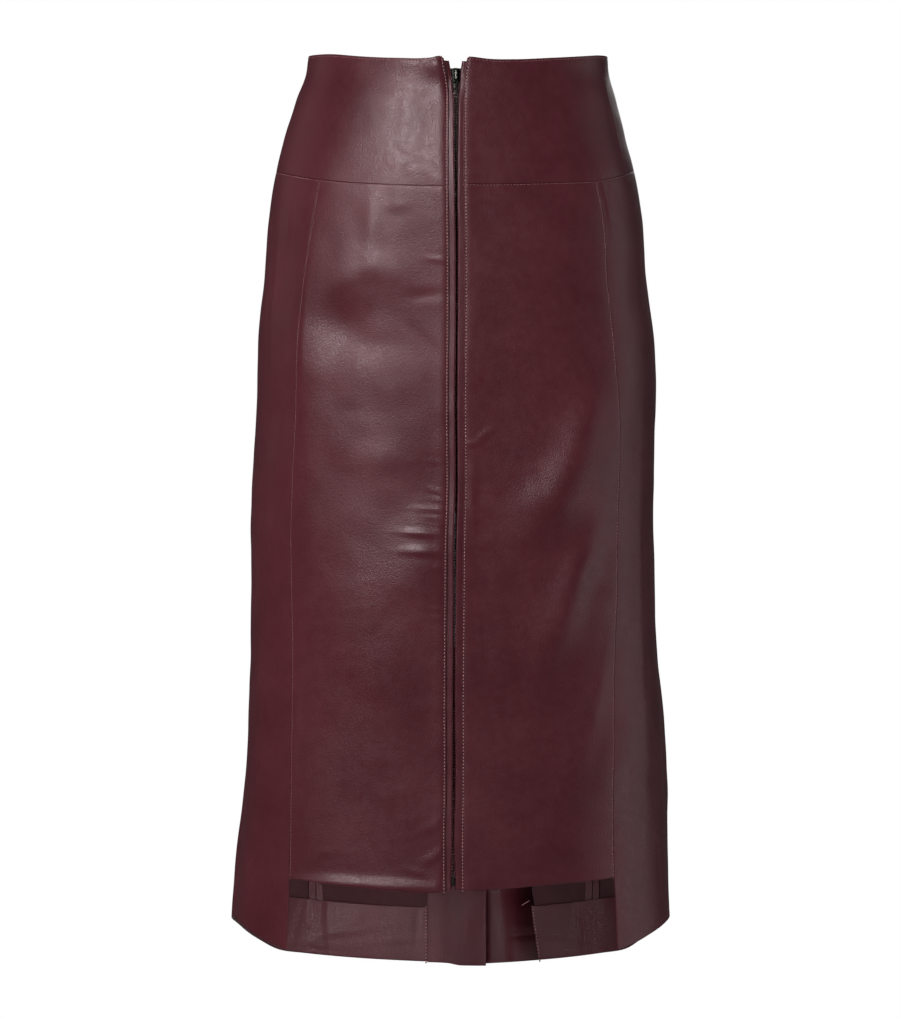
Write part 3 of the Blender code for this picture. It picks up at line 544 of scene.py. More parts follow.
@dataclass
class Pattern:
    """The lines of the cut: seams, hems, the waist edge and the zip's line."""

    form: HollowForm
    panel_edge: float = 6.3 * MM
    panel_edge_flare: float = 3.8 * MM
    flare_length: float = 34.0 * MM

    SIDES_BLEND = 0.03

    def __post_init__(self) -> None:
        """Reads the tables of the pattern's lines."""
        self.seams = {column: Curve(UPRIGHT_SEAMS, column) for column in (1, 2, 3)}
        self.zip_place = Curve(ZIP_LINE, 1)
        self.zip_opening = Curve(ZIP_LINE, 2)
        self.vent_facing_place = Curve(VENT_FACING_EDGE, 1)
        self.waist = self.edge(WAIST_EDGE)
        self.yoke_seam = self.edge(YOKE_SEAM)
        self.front_hem = self.edge(FRONT_HEM)
        self.hem = self.edge(HEM)

    @staticmethod
    def edge(table: Table) -> Line:
        """Returns the height of an edge that runs round, as a function of turn."""
        right_curve = Curve(table, 1)
        left_curve = Curve(table, len(table[0]) - 1)

        def height(turn: Array) -> Array:
            way = wrapped(np.asarray(turn))
            angle = np.abs(way) / DEG
            right, left = right_curve(angle), left_curve(angle)
            share = ramp(np.sin(way), -Pattern.SIDES_BLEND, Pattern.SIDES_BLEND)
            return -(right + (left - right) * share) * MM

        return height

    @staticmethod
    def raised(line: Line, distance: float) -> Line:
        """Returns an edge moved up by a distance."""
        return lambda turn: line(turn) + distance

    @staticmethod
    def ordered(side: int, near: object, far: object) -> tuple:
        """Returns two ends that lie near and far from the zip, to the wearer's left."""
        return (far, near) if side == RIGHT else (near, far)

    @staticmethod
    def level(height: float) -> Line:
        """Returns an edge at one height all round."""
        return lambda turn: np.full(np.shape(turn), height)

    def front_seam(self, side: int) -> Line:
        """Returns the front princess seam of one side."""
        curve = self.seams[1 if side == RIGHT else 2]
        return lambda z: side * curve(-z / MM) * DEG

    def back_seam(self, side: int) -> Line:
        """Returns the back princess seam of one side."""
        return lambda z: side * self.seams[3](-z / MM) * DEG

    @staticmethod
    def upright(turn: float) -> Line:
        """Returns a line down the form at one turn."""
        return lambda z: np.full(np.shape(z), turn)

    def inset(self, line: Line, distance: float) -> Line:
        """Returns a line moved along the form, positive to the wearer's left."""

        def moved(z: Array) -> Array:
            turn = line(z)
            return turn + distance / self.form.speed(turn, z)

        return moved

    def zip_x(self, z: Array) -> Array:
        """Returns the sideways place of the zip's middle."""
        return self.zip_place(-z / MM) * MM

    def zip_gap(self, z: Array) -> Array:
        """Returns half the gap between the leather strips."""
        return self.zip_opening(-z / MM) * MM

    def panel_gap(self, z: Array) -> Array:
        """Returns how far the front panels' edges lie from the zip's middle."""
        return self.panel_edge + self.panel_edge_flare * (1 - ramp(-z, 0.0, self.flare_length))

    def from_zip(self, side: int, distance: float | Line) -> Line:
        """Returns a line beside the zip, at a distance that may change with height."""

        def line(z: Array) -> Array:
            away = distance(z) if callable(distance) else distance
            return self.form.turn_at(self.zip_x(z) + side * away, z)

        return line

    def back_line(self, x: float) -> Line:
        """Returns an upright line at one x on the back."""
        return lambda z: self.form.turn_at(np.full(np.shape(z), x), z, back=True)

    def vent_facing(self) -> Line:
        """Returns the stitched edge of the vent's facing."""

        def line(z: Array) -> Array:
            x = self.vent_facing_place(-z / MM) * MM
            return self.form.turn_at(x, z, back=True)

        return line

    @staticmethod
    def past_back(line: Line) -> Line:
        """Returns a right-hand line with its turn counted on past the centre back."""
        return lambda z: line(z) + 2 * math.pi


class Side(Enum):
    """The four edges of a sewn piece."""

    START = "start"
    END = "end"
    TOP = "top"
    BOTTOM = "bottom"


class EdgeStyle(Enum):
    """How an edge of the leather is finished: (outer radius, inner radius) as shares."""

    SEAM = (0.28, 0.10)
    FOLDED = (0.48, 0.48)
    ROLLED = (0.85, 0.85)
    CUT = (0.18, 0.18)


SEAM, FOLDED, ROLLED, CUT = EdgeStyle


def styled(start: EdgeStyle, end: EdgeStyle, top: EdgeStyle, bottom: EdgeStyle) -> dict:
    """Returns the finish of a piece's four edges by side."""
    return dict(zip(Side, (start, end, top, bottom)))


@dataclass(frozen=True)
class Stitch:
    """A lockstitch in thread: its spacing, length, thickness and how it arches."""

    pitch: float = 2.85 * MM
    length: float = 1.35 * MM
    thread: float = 0.35 * MM
    rise: float = 0.85 * MM
    sink: float = 0.25 * MM
    hole: float = 0.75 * MM
    sway: float = 0.07


@dataclass
class Path:
    """A line of points on a surface, with the directions out of it."""

    points: Array
    out: Array


@dataclass(frozen=True)
class StitchRow:
    """A row of stitches beside an edge of a sewn piece."""

    side: Side
    inset: float
    dip: float = 0.0
    puff: float = 0.0
    fine: bool = False
    inside: bool = False


@dataclass
class SewnPiece:
    """One cut piece of cloth, as a thin closed wall between two offsets of the form."""

    name: str
    node: str | None
    start: Line
    end: Line
    top: Line
    bottom: Line
    outer: float | Offset
    thickness: float
    styles: dict[Side, EdgeStyle]
    rests_on: tuple[str, ...]
    finishes: tuple[str, str]
    slot: str = "leather"
    rows: tuple[StitchRow, ...] = ()
    column_step: float = 2.3 * MM
    row_step: float = 2.3 * MM
    valley: float = 0.14 * MM
    pull: float = 0.12 * MM
    grids: dict[str | Side, Array] = field(default_factory=dict)
    body: Object | None = None

    # Distances of grid lines, in mm: from an edge, and from a stitch row.
    NEAR = (0.0, 0.10, 0.26, 0.50, 0.80, 1.2, 1.8, 2.8)
    ROUND_ROW = (-0.9, -0.4, 0.0, 0.4, 0.9)
    # How wide the shapes beside a stitch row and a seam are, and how shallow a fine row's is.
    VALLEY_WIDTH = 0.55 * MM
    DIP_WIDTH = 1.8 * MM
    PUFF_WIDTH = 3.6 * MM
    PULL_WIDTH = 3.4 * MM
    FINE_SHARE = 0.4
    # The two wavelengths of a seam's uneven pull, in mm for each radian.
    PULL_WAVES = (7.3, 9.1)
    EDGE_MASK_WIDTH = 0.9 * MM
    LEAST_WALL = 0.02 * MM
    # How much of a seam's pull comes and goes along it.
    UNEVEN = 0.25
    # The grid is found by guesses: the first height, and how many for the middle and the grid.
    FIRST_HEIGHT = -0.35
    GUESSES = (8, 6)

    def near(self, side: Side) -> Array:
        """Returns the distances of the first grid lines from one edge, in metres."""
        found = {round(d, 3) for d in self.NEAR}
        for row in self.rows:
            if row.side == side:
                at = row.inset / MM
                found = {d for d in found if abs(d - at) > 1.0 or d < 0.3}
                found |= {round(at + d, 3) for d in self.ROUND_ROW if at + d > 0.3}
        return np.array(sorted(found)) * MM

    @staticmethod
    def count(low: Array, high: Array, length: Array, step: float) -> int:
        """Returns how many steps lie between the near lines of two edges."""
        return max(2, round((float(np.median(length)) - low[-1] - high[-1]) / step))

    @staticmethod
    def shares(low: Array, high: Array, length: Array, count: int) -> Array:
        """Returns grid places from 0 to 1, close together near both edges.

        Args:
            low: distances of the first grid lines from the near edge.
            high: the same from the far edge.
            length: the length from edge to edge, for each grid line that crosses.
            count: how many steps lie between.
        """
        near = low[:, None] / length
        far = 1 - high[::-1, None] / length
        part = np.linspace(0, 1, count + 1)[1:-1, None]
        between = near[-1] + (far[0] - near[-1]) * part
        return np.concatenate([near, between, far])

    def lay_out(self, form: HollowForm) -> None:
        """Works out the turn and height of each grid point, and its distance from the edges."""
        middle = np.full(1, self.FIRST_HEIGHT)
        for _ in range(self.GUESSES[0]):
            turns = (self.start(middle) + self.end(middle)) / 2
            middle = (self.top(turns) + self.bottom(turns)) / 2
        z = np.linspace(float(self.top(turns)[0]), float(self.bottom(turns)[0]), 64)
        width = form.speed(self.start(z), z) * (self.end(z) - self.start(z))
        low, high = self.near(Side.START), self.near(Side.END)
        count = self.count(low, high, width, self.column_step)
        columns = count + len(low) + len(high) - 1
        above, below = self.near(Side.TOP), self.near(Side.BOTTOM)
        span = np.linspace(float(self.start(middle)[0]), float(self.end(middle)[0]), columns)
        height = self.top(span) - self.bottom(span)
        down = self.count(above, below, height, self.row_step)
        rows = down + len(above) + len(below) - 1
        z = np.linspace(z[0], z[-1], rows)[:, None] + np.zeros((1, columns))
        for _ in range(self.GUESSES[1]):
            first, last = self.start(z), self.end(z)
            full = last - first
            near_way = form.speed(first, z) * full
            far_way = form.speed(last, z) * full
            across = np.empty(z.shape)
            across[:, : len(low)] = low[None, :] / near_way[:, : len(low)]
            across[:, -len(high) :] = 1 - high[None, ::-1] / far_way[:, -len(high) :]
            left, right = across[:, len(low) - 1], across[:, -len(high)]
            part = np.linspace(0, 1, count + 1)[None, 1:-1]
            across[:, len(low) : -len(high)] = left[:, None] + (right - left)[:, None] * part
            turn = first + full * across
            height = self.top(turn) - self.bottom(turn)
            z = self.top(turn) - height * self.shares(above, below, height.mean(axis=0), down)
        self.grids["turn"], self.grids["z"] = turn, z
        self.grids[Side.START] = near_way * across
        self.grids[Side.END] = far_way * (1 - across)
        self.grids[Side.TOP] = self.top(turn) - z
        self.grids[Side.BOTTOM] = z - self.bottom(turn)

    def rounding(self, layer: int) -> Array:
        """Returns how far the edges' rounding draws a face in.

        Args:
            layer: 0 for the outer face and 1 for the inner one.
        """
        total = np.zeros(self.grids["turn"].shape)
        for side, style in self.styles.items():
            radius = style.value[layer] * self.thickness
            away = np.clip(self.grids[side], 0, radius)
            total = np.maximum(total, radius - np.sqrt(radius**2 - (radius - away) ** 2))
        return total

    def relief(self, form: HollowForm, inside: bool = False) -> Array:
        """Returns one face's own shape: stitched valleys and the pull of its seams.

        Args:
            form: the form that the piece follows.
            inside: whether the face is the inner one.
        """
        total = np.zeros(self.grids["turn"].shape)
        for row in self.rows:
            if row.inside != inside:
                continue
            away = self.grids[row.side] - row.inset
            valley = self.valley * (self.FINE_SHARE if row.fine else 1.0)
            total = total - valley * bell(away / self.VALLEY_WIDTH)
            total = total - row.dip * bell(away / self.DIP_WIDTH)
            total = total + row.puff * bell((away - self.PUFF_WIDTH) / self.PUFF_WIDTH)
        if inside:
            return total
        wander = form.bare(self.grids["turn"], self.grids["z"]) / MM
        down, across = self.PULL_WAVES
        swing = np.sin(wander[..., 2] / down + wander[..., 0] / across)
        uneven = 1 - self.UNEVEN + self.UNEVEN * swing
        for side, style in self.styles.items():
            if style == SEAM:
                near = bell(self.grids[side] / self.PULL_WIDTH)
                total = total - self.pull * uneven * near
        return total

    def build(self, form: HollowForm, finishes: Finished) -> Object:
        """Args:
            form: the form that the piece follows.
            finishes: the materials by name.

        Returns:
            The piece's object.
        """
        self.lay_out(form)
        turn, z = self.grids["turn"], self.grids["z"]
        base = self.outer(turn, z) if callable(self.outer) else np.full(turn.shape, self.outer)
        offset = base + self.relief(form) - self.rounding(0)
        inner = base - self.thickness + self.rounding(1) - self.relief(form, inside=True)
        self.grids["outer"] = form.place(turn, z, np.maximum(offset, inner + self.LEAST_WALL))
        self.grids["inner"] = form.place(turn, z, inner)
        self.grids["out"] = form.outward(turn, z)
        self.body = self.mesh_object([finishes[name] for name in self.finishes])
        return self.body

    def mesh_object(self, materials: list[Material]) -> Object:
        """Turns the two grids of points into one closed mesh object."""
        rows, columns = self.grids["turn"].shape
        index = np.arange(rows * columns).reshape(rows, columns)
        a, b = index[:-1, :-1].ravel(), index[1:, :-1].ravel()
        c, d = index[1:, 1:].ravel(), index[:-1, 1:].ravel()
        shift = rows * columns
        outer = np.stack([a, b, c, d], axis=1)
        inner = np.stack([d, c, b, a], axis=1) + shift
        loop = np.concatenate(
            [index[:, 0], index[-1, 1:], index[-2::-1, -1], index[0, -2:0:-1]]
        )
        after = np.roll(loop, -1)
        rim = np.stack([loop, loop + shift, after + shift, after], axis=1)
        points = np.concatenate([self.grids[k].reshape(-1, 3) for k in ("outer", "inner")])
        faces = np.concatenate([outer, rim, inner])
        data = bpy.data.meshes.new(self.name)
        data.from_pydata(points.tolist(), [], faces.tolist())
        for material in materials:
            data.materials.append(material)
        slots = np.zeros(len(faces), np.int32)
        slots[len(outer) :] = int(self.finishes[0] == "flesh")
        slots[len(outer) + len(rim) :] = 1
        data.polygons.foreach_set("material_index", slots)
        data.shade_smooth()
        self.add_maps(data)
        return placed(self.name, data)

    def add_maps(self, data: Mesh) -> None:
        """Adds the UV map, in metres along the cloth, and the nearness to an edge."""
        across = self.grids[Side.START]
        down = self.grids[Side.TOP]
        flat = np.stack([across, down], axis=-1).reshape(-1, 2)
        flat = np.concatenate([flat, flat])
        vertices = np.zeros(len(data.loops), np.int32)
        data.loops.foreach_get("vertex_index", vertices)
        layer = data.uv_layers.new(name="cloth")
        layer.uv.foreach_set("vector", flat[vertices].astype(np.float32).ravel())
        nearest = np.min([self.grids[side] for side in self.styles], axis=0)
        edge = bell(nearest / self.EDGE_MASK_WIDTH).ravel()
        mask = data.attributes.new("edge", "FLOAT", "POINT")
        mask.data.foreach_set("value", np.concatenate([edge, edge]).astype(np.float32))

    def flat_size(self) -> tuple[float, float, float]:
        """Returns the width, length and area that the piece was cut to, in metres."""
        points = self.grids["outer"]
        widths = np.linalg.norm(np.diff(points, axis=1), axis=2).sum(axis=1)
        lengths = np.linalg.norm(np.diff(points, axis=0), axis=2).sum(axis=0)
        sides = np.cross(points[1:, :-1] - points[:-1, :-1], points[:-1, 1:] - points[:-1, :-1])
        area = float(np.linalg.norm(sides, axis=2).sum())
        width, length = float(widths.max()), float(lengths.max())
        return width, length, min(area, width * length)

    def declare(self, joined: Sequence[Object] = ()) -> None:
        """Hangs the piece on the skirt's body, hides the solid that it replaces and logs the size
        that it was cut to.

        Args:
            joined: not used.
        """
        width, length, area = self.flat_size()
        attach(self.body, "skirt")
        if self.node:
            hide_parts(self.node)
        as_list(self.rests_on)
        LOG.info("%s: cut %.0f x %.0f mm, %.4f m2", self.name, width / MM, length / MM, area)

    def row_path(self, row: StitchRow) -> Path:
        """Returns the line of a stitch row on the leather."""
        away = np.abs(self.grids[row.side] - row.inset)
        if row.side in (Side.START, Side.END):
            pick = (slice(None), int(np.argmin(away.mean(axis=0))))
        else:
            pick = (int(np.argmin(away.mean(axis=1))), slice(None))
        points = self.grids["inner" if row.inside else "outer"][pick]
        out = self.grids["out"][pick] * (-1.0 if row.inside else 1.0)
        return Path(points, out)


@dataclass
class SkirtBody:
    """The leather of the skirt: yoke, panels, facings, underlay and seam allowances."""

    form: HollowForm
    pattern: Pattern
    leather: float = 1.4 * MM
    facing: float = 1.2 * MM
    seam_gap: float = 0.05 * MM
    layer_gap: float = 0.4 * MM
    facing_height: float = 47.0 * MM
    vent_top: float = 572.0 * MM
    underlay_top: float = 556.0 * MM
    underlay_right: float = 24.1 * MM
    underlay_left: float = 27.6 * MM
    underlay_extra: float = 0.9 * MM
    underlay_bulge: float = 7.5 * MM
    edge_stitch: float = 1.6 * MM
    edge_dip: float = 0.30 * MM
    edge_puff: float = 0.45 * MM
    seam_stitch: float = 0.9 * MM
    waist_stitch: float = 1.9 * MM
    waist_dip: float = 0.15 * MM
    edge_width: float = 6.8 * MM
    edge_thickness: float = 0.9 * MM
    edge_gap: float = 0.15 * MM
    edge_clear: float = 0.2 * MM
    # How far the turned edges stop short of the yoke seam and the front hem, how far they are
    # tucked under the facing, and how far they stop above the underlay.
    edge_short: float = 1.0 * MM
    edge_tucked: float = 9.0 * MM
    edge_above_vent: float = 1.5 * MM
    # Where a facing crosses a seam: how far it is pushed in, how far beyond the turned edges,
    # and the length of the slope before and after that.
    press: float = 0.85 * MM
    press_beyond: float = 1.0 * MM
    press_slope: tuple[float, float] = (2.2 * MM, 0.8 * MM)
    slit_inset: float = 1.0 * MM
    fold_drop: float = 0.6 * MM
    vent_clear: float = 0.6 * MM
    facing_stitch: float = 1.4 * MM
    facing_side_stitch: float = 1.0 * MM
    # The underlay steps over the facing between two places, in x, and swells below that.
    underlay_step: tuple[float, float] = (-12.0 * MM, -0.6 * MM)
    underlay_swell: tuple[float, float] = (602.0 * MM, 770.0 * MM)
    underlay_reach: float = 1.3
    underlay_short: float = 0.4 * MM
    # Its free side, as turns before and after the centre back.
    underlay_free: tuple[float, float] = (-0.08, 0.12)
    # The tack inside the vent: from and to, as x and height.
    tack_from: tuple[float, float] = (60.7 * MM, -725.4 * MM)
    tack_to: tuple[float, float] = (63.0 * MM, -724.0 * MM)
    tack_lift: float = 0.3 * MM
    stitch: Stitch = Stitch()
    fine_stitch: Stitch = Stitch(
        length=1.7 * MM, thread=0.17 * MM, rise=0.45 * MM, sink=0.1 * MM, hole=0.30 * MM
    )
    tack: Stitch = Stitch(20.0 * MM, 5.4 * MM, 0.32 * MM, 1.6 * MM, 0.1 * MM, 0.3 * MM, 0.0)
    pieces: dict[str, SewnPiece] = field(default_factory=dict)
    turned: dict[str, list[SewnPiece]] = field(default_factory=dict)

    OUTSIDE = ("grain", "flesh")
    INSIDE = ("flesh", "grain")
    DOUBLE = ("grain", "grain")

    def cut(
        self, node: str, ends: tuple[Line, Line], top: Line, bottom: Line, outer: float | Offset,
        styles: dict[Side, EdgeStyle], rests_on: str, cloth: tuple[str, str],
        rows: tuple[StitchRow, ...] = (), steps: tuple[float, float] = (2.3, 2.3),
    ) -> None:
        """Cuts a piece that stands in for one solid.

        Args:
            node: the solid's name.
            ends: the lines where the piece starts and ends, to the wearer's left.
            top: its upper edge.
            bottom: its lower edge.
            outer: the offset of its outer face.
            styles: the finish of its edges.
            rests_on: the solid whose piece it hangs on.
            cloth: the finishes of its faces, OUTSIDE for the full leather.
            rows: its rows of stitches.
            steps: the width and height of its mesh, in mm.
        """
        thickness = self.leather if cloth == self.OUTSIDE else self.facing
        across, down = steps
        self.pieces[node] = SewnPiece(
            f"sewn_{node}", node, *ends, top, bottom, outer, thickness, styles,
            (f"sewn_{rests_on}",), cloth, rows=rows, column_step=across * MM, row_step=down * MM,
        )

    def cut_yoke(self) -> None:
        """Cuts the two front yokes and the back yoke."""
        lines, half = self.pattern, self.seam_gap / 2
        bottom = lines.raised(lines.yoke_seam, half)
        for side, word in WORDS.items():
            zip_side = lines.from_zip(side, lines.panel_gap)
            seam = lines.inset(lines.upright(side * math.pi / 2), -side * half)
            ends = lines.ordered(side, zip_side, seam)
            zip_edge = Side.END if side == RIGHT else Side.START
            puff = self.edge_puff if side == RIGHT else 0.0
            rows = (
                StitchRow(zip_edge, self.edge_stitch, self.edge_dip, puff),
                StitchRow(Side.TOP, self.waist_stitch, self.waist_dip, fine=True),
            )
            self.cut(
                f"yoke_front_{word}", ends, lines.waist, bottom, 0.0,
                {**styled(SEAM, SEAM, FOLDED, SEAM), zip_edge: FOLDED},
                "yoke_back", self.OUTSIDE, rows,
            )
        first = lines.inset(lines.upright(math.pi / 2), half)
        last = lines.inset(lines.upright(1.5 * math.pi), -half)
        rows = (StitchRow(Side.TOP, self.waist_stitch, self.waist_dip, fine=True),)
        self.cut(
            "yoke_back", (first, last), lines.waist, bottom, 0.0,
            styled(SEAM, SEAM, FOLDED, SEAM), "yoke_front_left", self.OUTSIDE, rows, (2.8, 2.8),
        )

    def cut_panels(self) -> None:
        """Cuts the eight panels under the yoke."""
        lines, half = self.pattern, self.seam_gap / 2
        top = lines.raised(lines.yoke_seam, -half)
        for side, word in WORDS.items():
            seams = (
                lines.front_seam(side), lines.upright(side * math.pi / 2),
                lines.back_seam(side), lines.upright(side * math.pi),
            )
            nears = [lines.from_zip(side, lines.panel_gap)]
            nears += [lines.inset(seam, side * half) for seam in seams[:3]]
            fars = [lines.inset(seam, -side * half) for seam in seams]
            names = ("front_panel", "side_front", "side_back", "back_panel")
            edges = (Side.START, Side.END)
            near_edge, far_edge = edges[::-1] if side == RIGHT else edges
            for name, near, far in zip(names, nears, fars):
                ends = lines.ordered(side, near, far)
                styles = styled(SEAM, SEAM, SEAM, FOLDED)
                rows = (StitchRow(Side.TOP, self.seam_stitch, fine=True),)
                bottom = lines.hem
                if name == "front_panel":
                    bottom = lines.front_hem
                    styles[near_edge] = FOLDED
                    puff = self.edge_puff if side == RIGHT else 0.0
                    rows += (
                        StitchRow(near_edge, self.edge_stitch, self.edge_dip, puff),
                        StitchRow(far_edge, self.seam_stitch, fine=True),
                    )
                in_front = "front" in name
                self.cut(
                    f"{name}_{word}", ends, top, bottom, 0.0, styles,
                    f"yoke_front_{word}" if in_front else "yoke_back", self.OUTSIDE, rows,
                    (2.3, 2.3) if in_front else (3.1, 3.1),
                )

    def facing_outer(self, turn: Array, z: Array) -> Array:
        """Returns how deep a facing lies: pushed in where it crosses a seam's turned edges."""
        total = np.full(np.shape(turn), -(self.leather + self.layer_gap))
        reach = self.edge_width + self.press_beyond
        before, after = self.press_slope
        for side in WORDS:
            for line in (self.pattern.back_seam(side), self.pattern.upright(side * math.pi / 2)):
                away = np.abs(wrapped(turn - line(z)) * self.form.speed(turn, z))
                total = total - self.press * (1 - ramp(away, reach - before, reach + after))
        return total

    def cut_facings(self) -> None:
        """Cuts the hem's facings, the vent's facing and the underlay."""
        lines, half = self.pattern, self.seam_gap / 2
        top = lines.raised(lines.hem, self.facing_height)
        bottom = lines.raised(lines.hem, self.fold_drop)
        vent_edge = lines.vent_facing()
        steps = (3.0, 3.0)
        slit = lines.inset(lines.front_seam(LEFT), self.slit_inset)
        left = (slit, lines.inset(vent_edge, -half))
        self.cut(
            "hem_facing_left", left, top, bottom, self.facing_outer,
            styled(FOLDED, CUT, CUT, FOLDED), "side_back_left", self.INSIDE,
            (StitchRow(Side.END, self.facing_stitch, inside=True),), steps,
        )
        right = (
            lines.back_line(-self.underlay_right - self.seam_gap),
            lines.past_back(lines.inset(lines.front_seam(RIGHT), -self.slit_inset)),
        )
        self.cut(
            "hem_facing_right", right, top, bottom, self.facing_outer,
            styled(SEAM, FOLDED, CUT, FOLDED), "side_back_right", self.INSIDE,
            (StitchRow(Side.START, self.facing_side_stitch, inside=True),), steps,
        )
        self.cut(
            "vent_facing_left", (lines.back_line(self.vent_clear), lines.inset(vent_edge, half)),
            lines.level(-self.vent_top), bottom, -(self.leather + self.layer_gap),
            styled(CUT, FOLDED, CUT, FOLDED), "back_panel_left", self.INSIDE, steps=steps,
        )

    def underlay_outer(self, turn: Array, z: Array) -> Array:
        """Returns how deep the vent's underlay lies."""
        x = self.form.bare(turn, z)[..., 0]
        on_panel = self.leather + self.layer_gap
        under_facing = on_panel + self.facing + self.layer_gap
        step = ramp(x, *self.underlay_step)
        toward_edge = ramp(x, self.underlay_step[1], self.underlay_left * self.underlay_reach)
        toward_hem = ramp(-z, *self.underlay_swell)
        depth = on_panel + (under_facing - on_panel) * step
        return -(depth + self.underlay_bulge * toward_edge * toward_hem)

    def underlay_hem(self, turn: Array) -> Array:
        """Returns the underlay's lower edge, which hangs lower toward its free side."""
        before, after = self.underlay_free
        lower = ramp(-np.asarray(turn), -math.pi + before, -math.pi + after)
        return self.pattern.hem(turn) - self.underlay_short - self.underlay_extra * lower

    def cut_underlay(self) -> None:
        """Cuts the piece behind the vent."""
        lines = self.pattern
        self.cut(
            "vent_underlay_right",
            (lines.back_line(self.underlay_left), lines.back_line(-self.underlay_right)),
            lines.level(-self.underlay_top), self.underlay_hem, self.underlay_outer,
            styled(FOLDED, SEAM, CUT, FOLDED), "back_panel_right", self.DOUBLE, steps=(2.5, 3.0),
        )

    def turn_edge(self, owner: str, word: str, seam: Line, way: int, *ends: Line) -> None:
        """Adds the turned edge that a panel has along one of its seams, pressed open inside.

        Args:
            owner: the panel's name.
            word: which of its edges it is.
            seam: the seam's line.
            way: 1 where the panel lies to the wearer's left of the seam, and -1 otherwise.
            ends: where the edge starts and ends, from the top.
        """
        lines = self.pattern
        near = lines.inset(seam, way * self.edge_clear)
        far = lines.inset(seam, way * self.edge_width)
        across = (near, far) if way > 0 else (far, near)
        sides = (SEAM, CUT) if way > 0 else (CUT, SEAM)
        piece = SewnPiece(
            f"turned_edge_{owner}_{word}", None, *across, *ends,
            -(self.leather + self.edge_gap), self.edge_thickness, styled(*sides, CUT, CUT),
            (), self.INSIDE, column_step=1.6 * MM, row_step=5.0 * MM,
        )
        self.turned.setdefault(f"sewn_{owner}", []).append(piece)

    def cut_turned_edges(self) -> None:
        """Cuts the turned edges of the seams, which show inside above the facings."""
        lines = self.pattern
        top = lines.raised(lines.yoke_seam, -self.edge_short)
        behind_facing = lines.raised(lines.hem, self.facing_height - self.edge_tucked)
        above_step = lines.raised(lines.front_hem, self.edge_short)
        above_vent = lines.level(-self.underlay_top + self.edge_above_vent)
        for side, word in WORDS.items():
            flank = lines.upright(side * math.pi / 2)
            middle = lines.upright(side * math.pi)
            front, back = lines.front_seam(side), lines.back_seam(side)
            plan = (
                ("front_panel", "outer", front, -side, above_step),
                ("side_front", "front", front, side, above_step),
                ("side_front", "side", flank, -side, behind_facing),
                ("side_back", "side", flank, side, behind_facing),
                ("side_back", "back", back, -side, behind_facing),
                ("back_panel", "outer", back, side, behind_facing),
                ("back_panel", "middle", middle, -side, above_vent),
            )
            for owner, edge, seam, way, bottom in plan:
                self.turn_edge(f"{owner}_{word}", edge, seam, way, top, bottom)

    def build(self, finishes: Finished) -> None:
        """Cuts and builds every leather piece."""
        self.cut_yoke()
        self.cut_panels()
        self.cut_facings()
        self.cut_underlay()
        self.cut_turned_edges()
        for piece in self.pieces.values():
            piece.build(self.form, finishes)
            joined = [edge.build(self.form, finishes) for edge in self.turned.get(piece.name, [])]
            for edge in joined:
                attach(edge, "skirt")
            piece.declare(joined)

    def sew(self, maker: StitchMaker) -> None:
        """Sews the rows of stitches that show on the leather, and one tack inside the vent."""
        x, z = (np.linspace(*ends, 3) for ends in zip(self.tack_from, self.tack_to))
        turn = self.form.turn_at(x, z, back=True)
        depth = self.leather + self.layer_gap + self.facing + self.tack_lift
        points = self.form.place(turn, z, np.full(3, -depth))
        tack = Path(points, -self.form.outward(turn, z))
        maker.sew("thread_tack", [tack], self.tack, "tack")
        for piece in self.pieces.values():
            kinds = (
                (False, "stitches_", self.stitch, "thread"),
                (True, "fine_stitches_", self.fine_stitch, "seam_thread"),
            )
            for fine, kind, stitch, thread in kinds:
                paths = [piece.row_path(row) for row in piece.rows if row.fine == fine]
                if paths:
                    maker.sew(piece.name.replace("sewn_", kind), paths, stitch, thread)


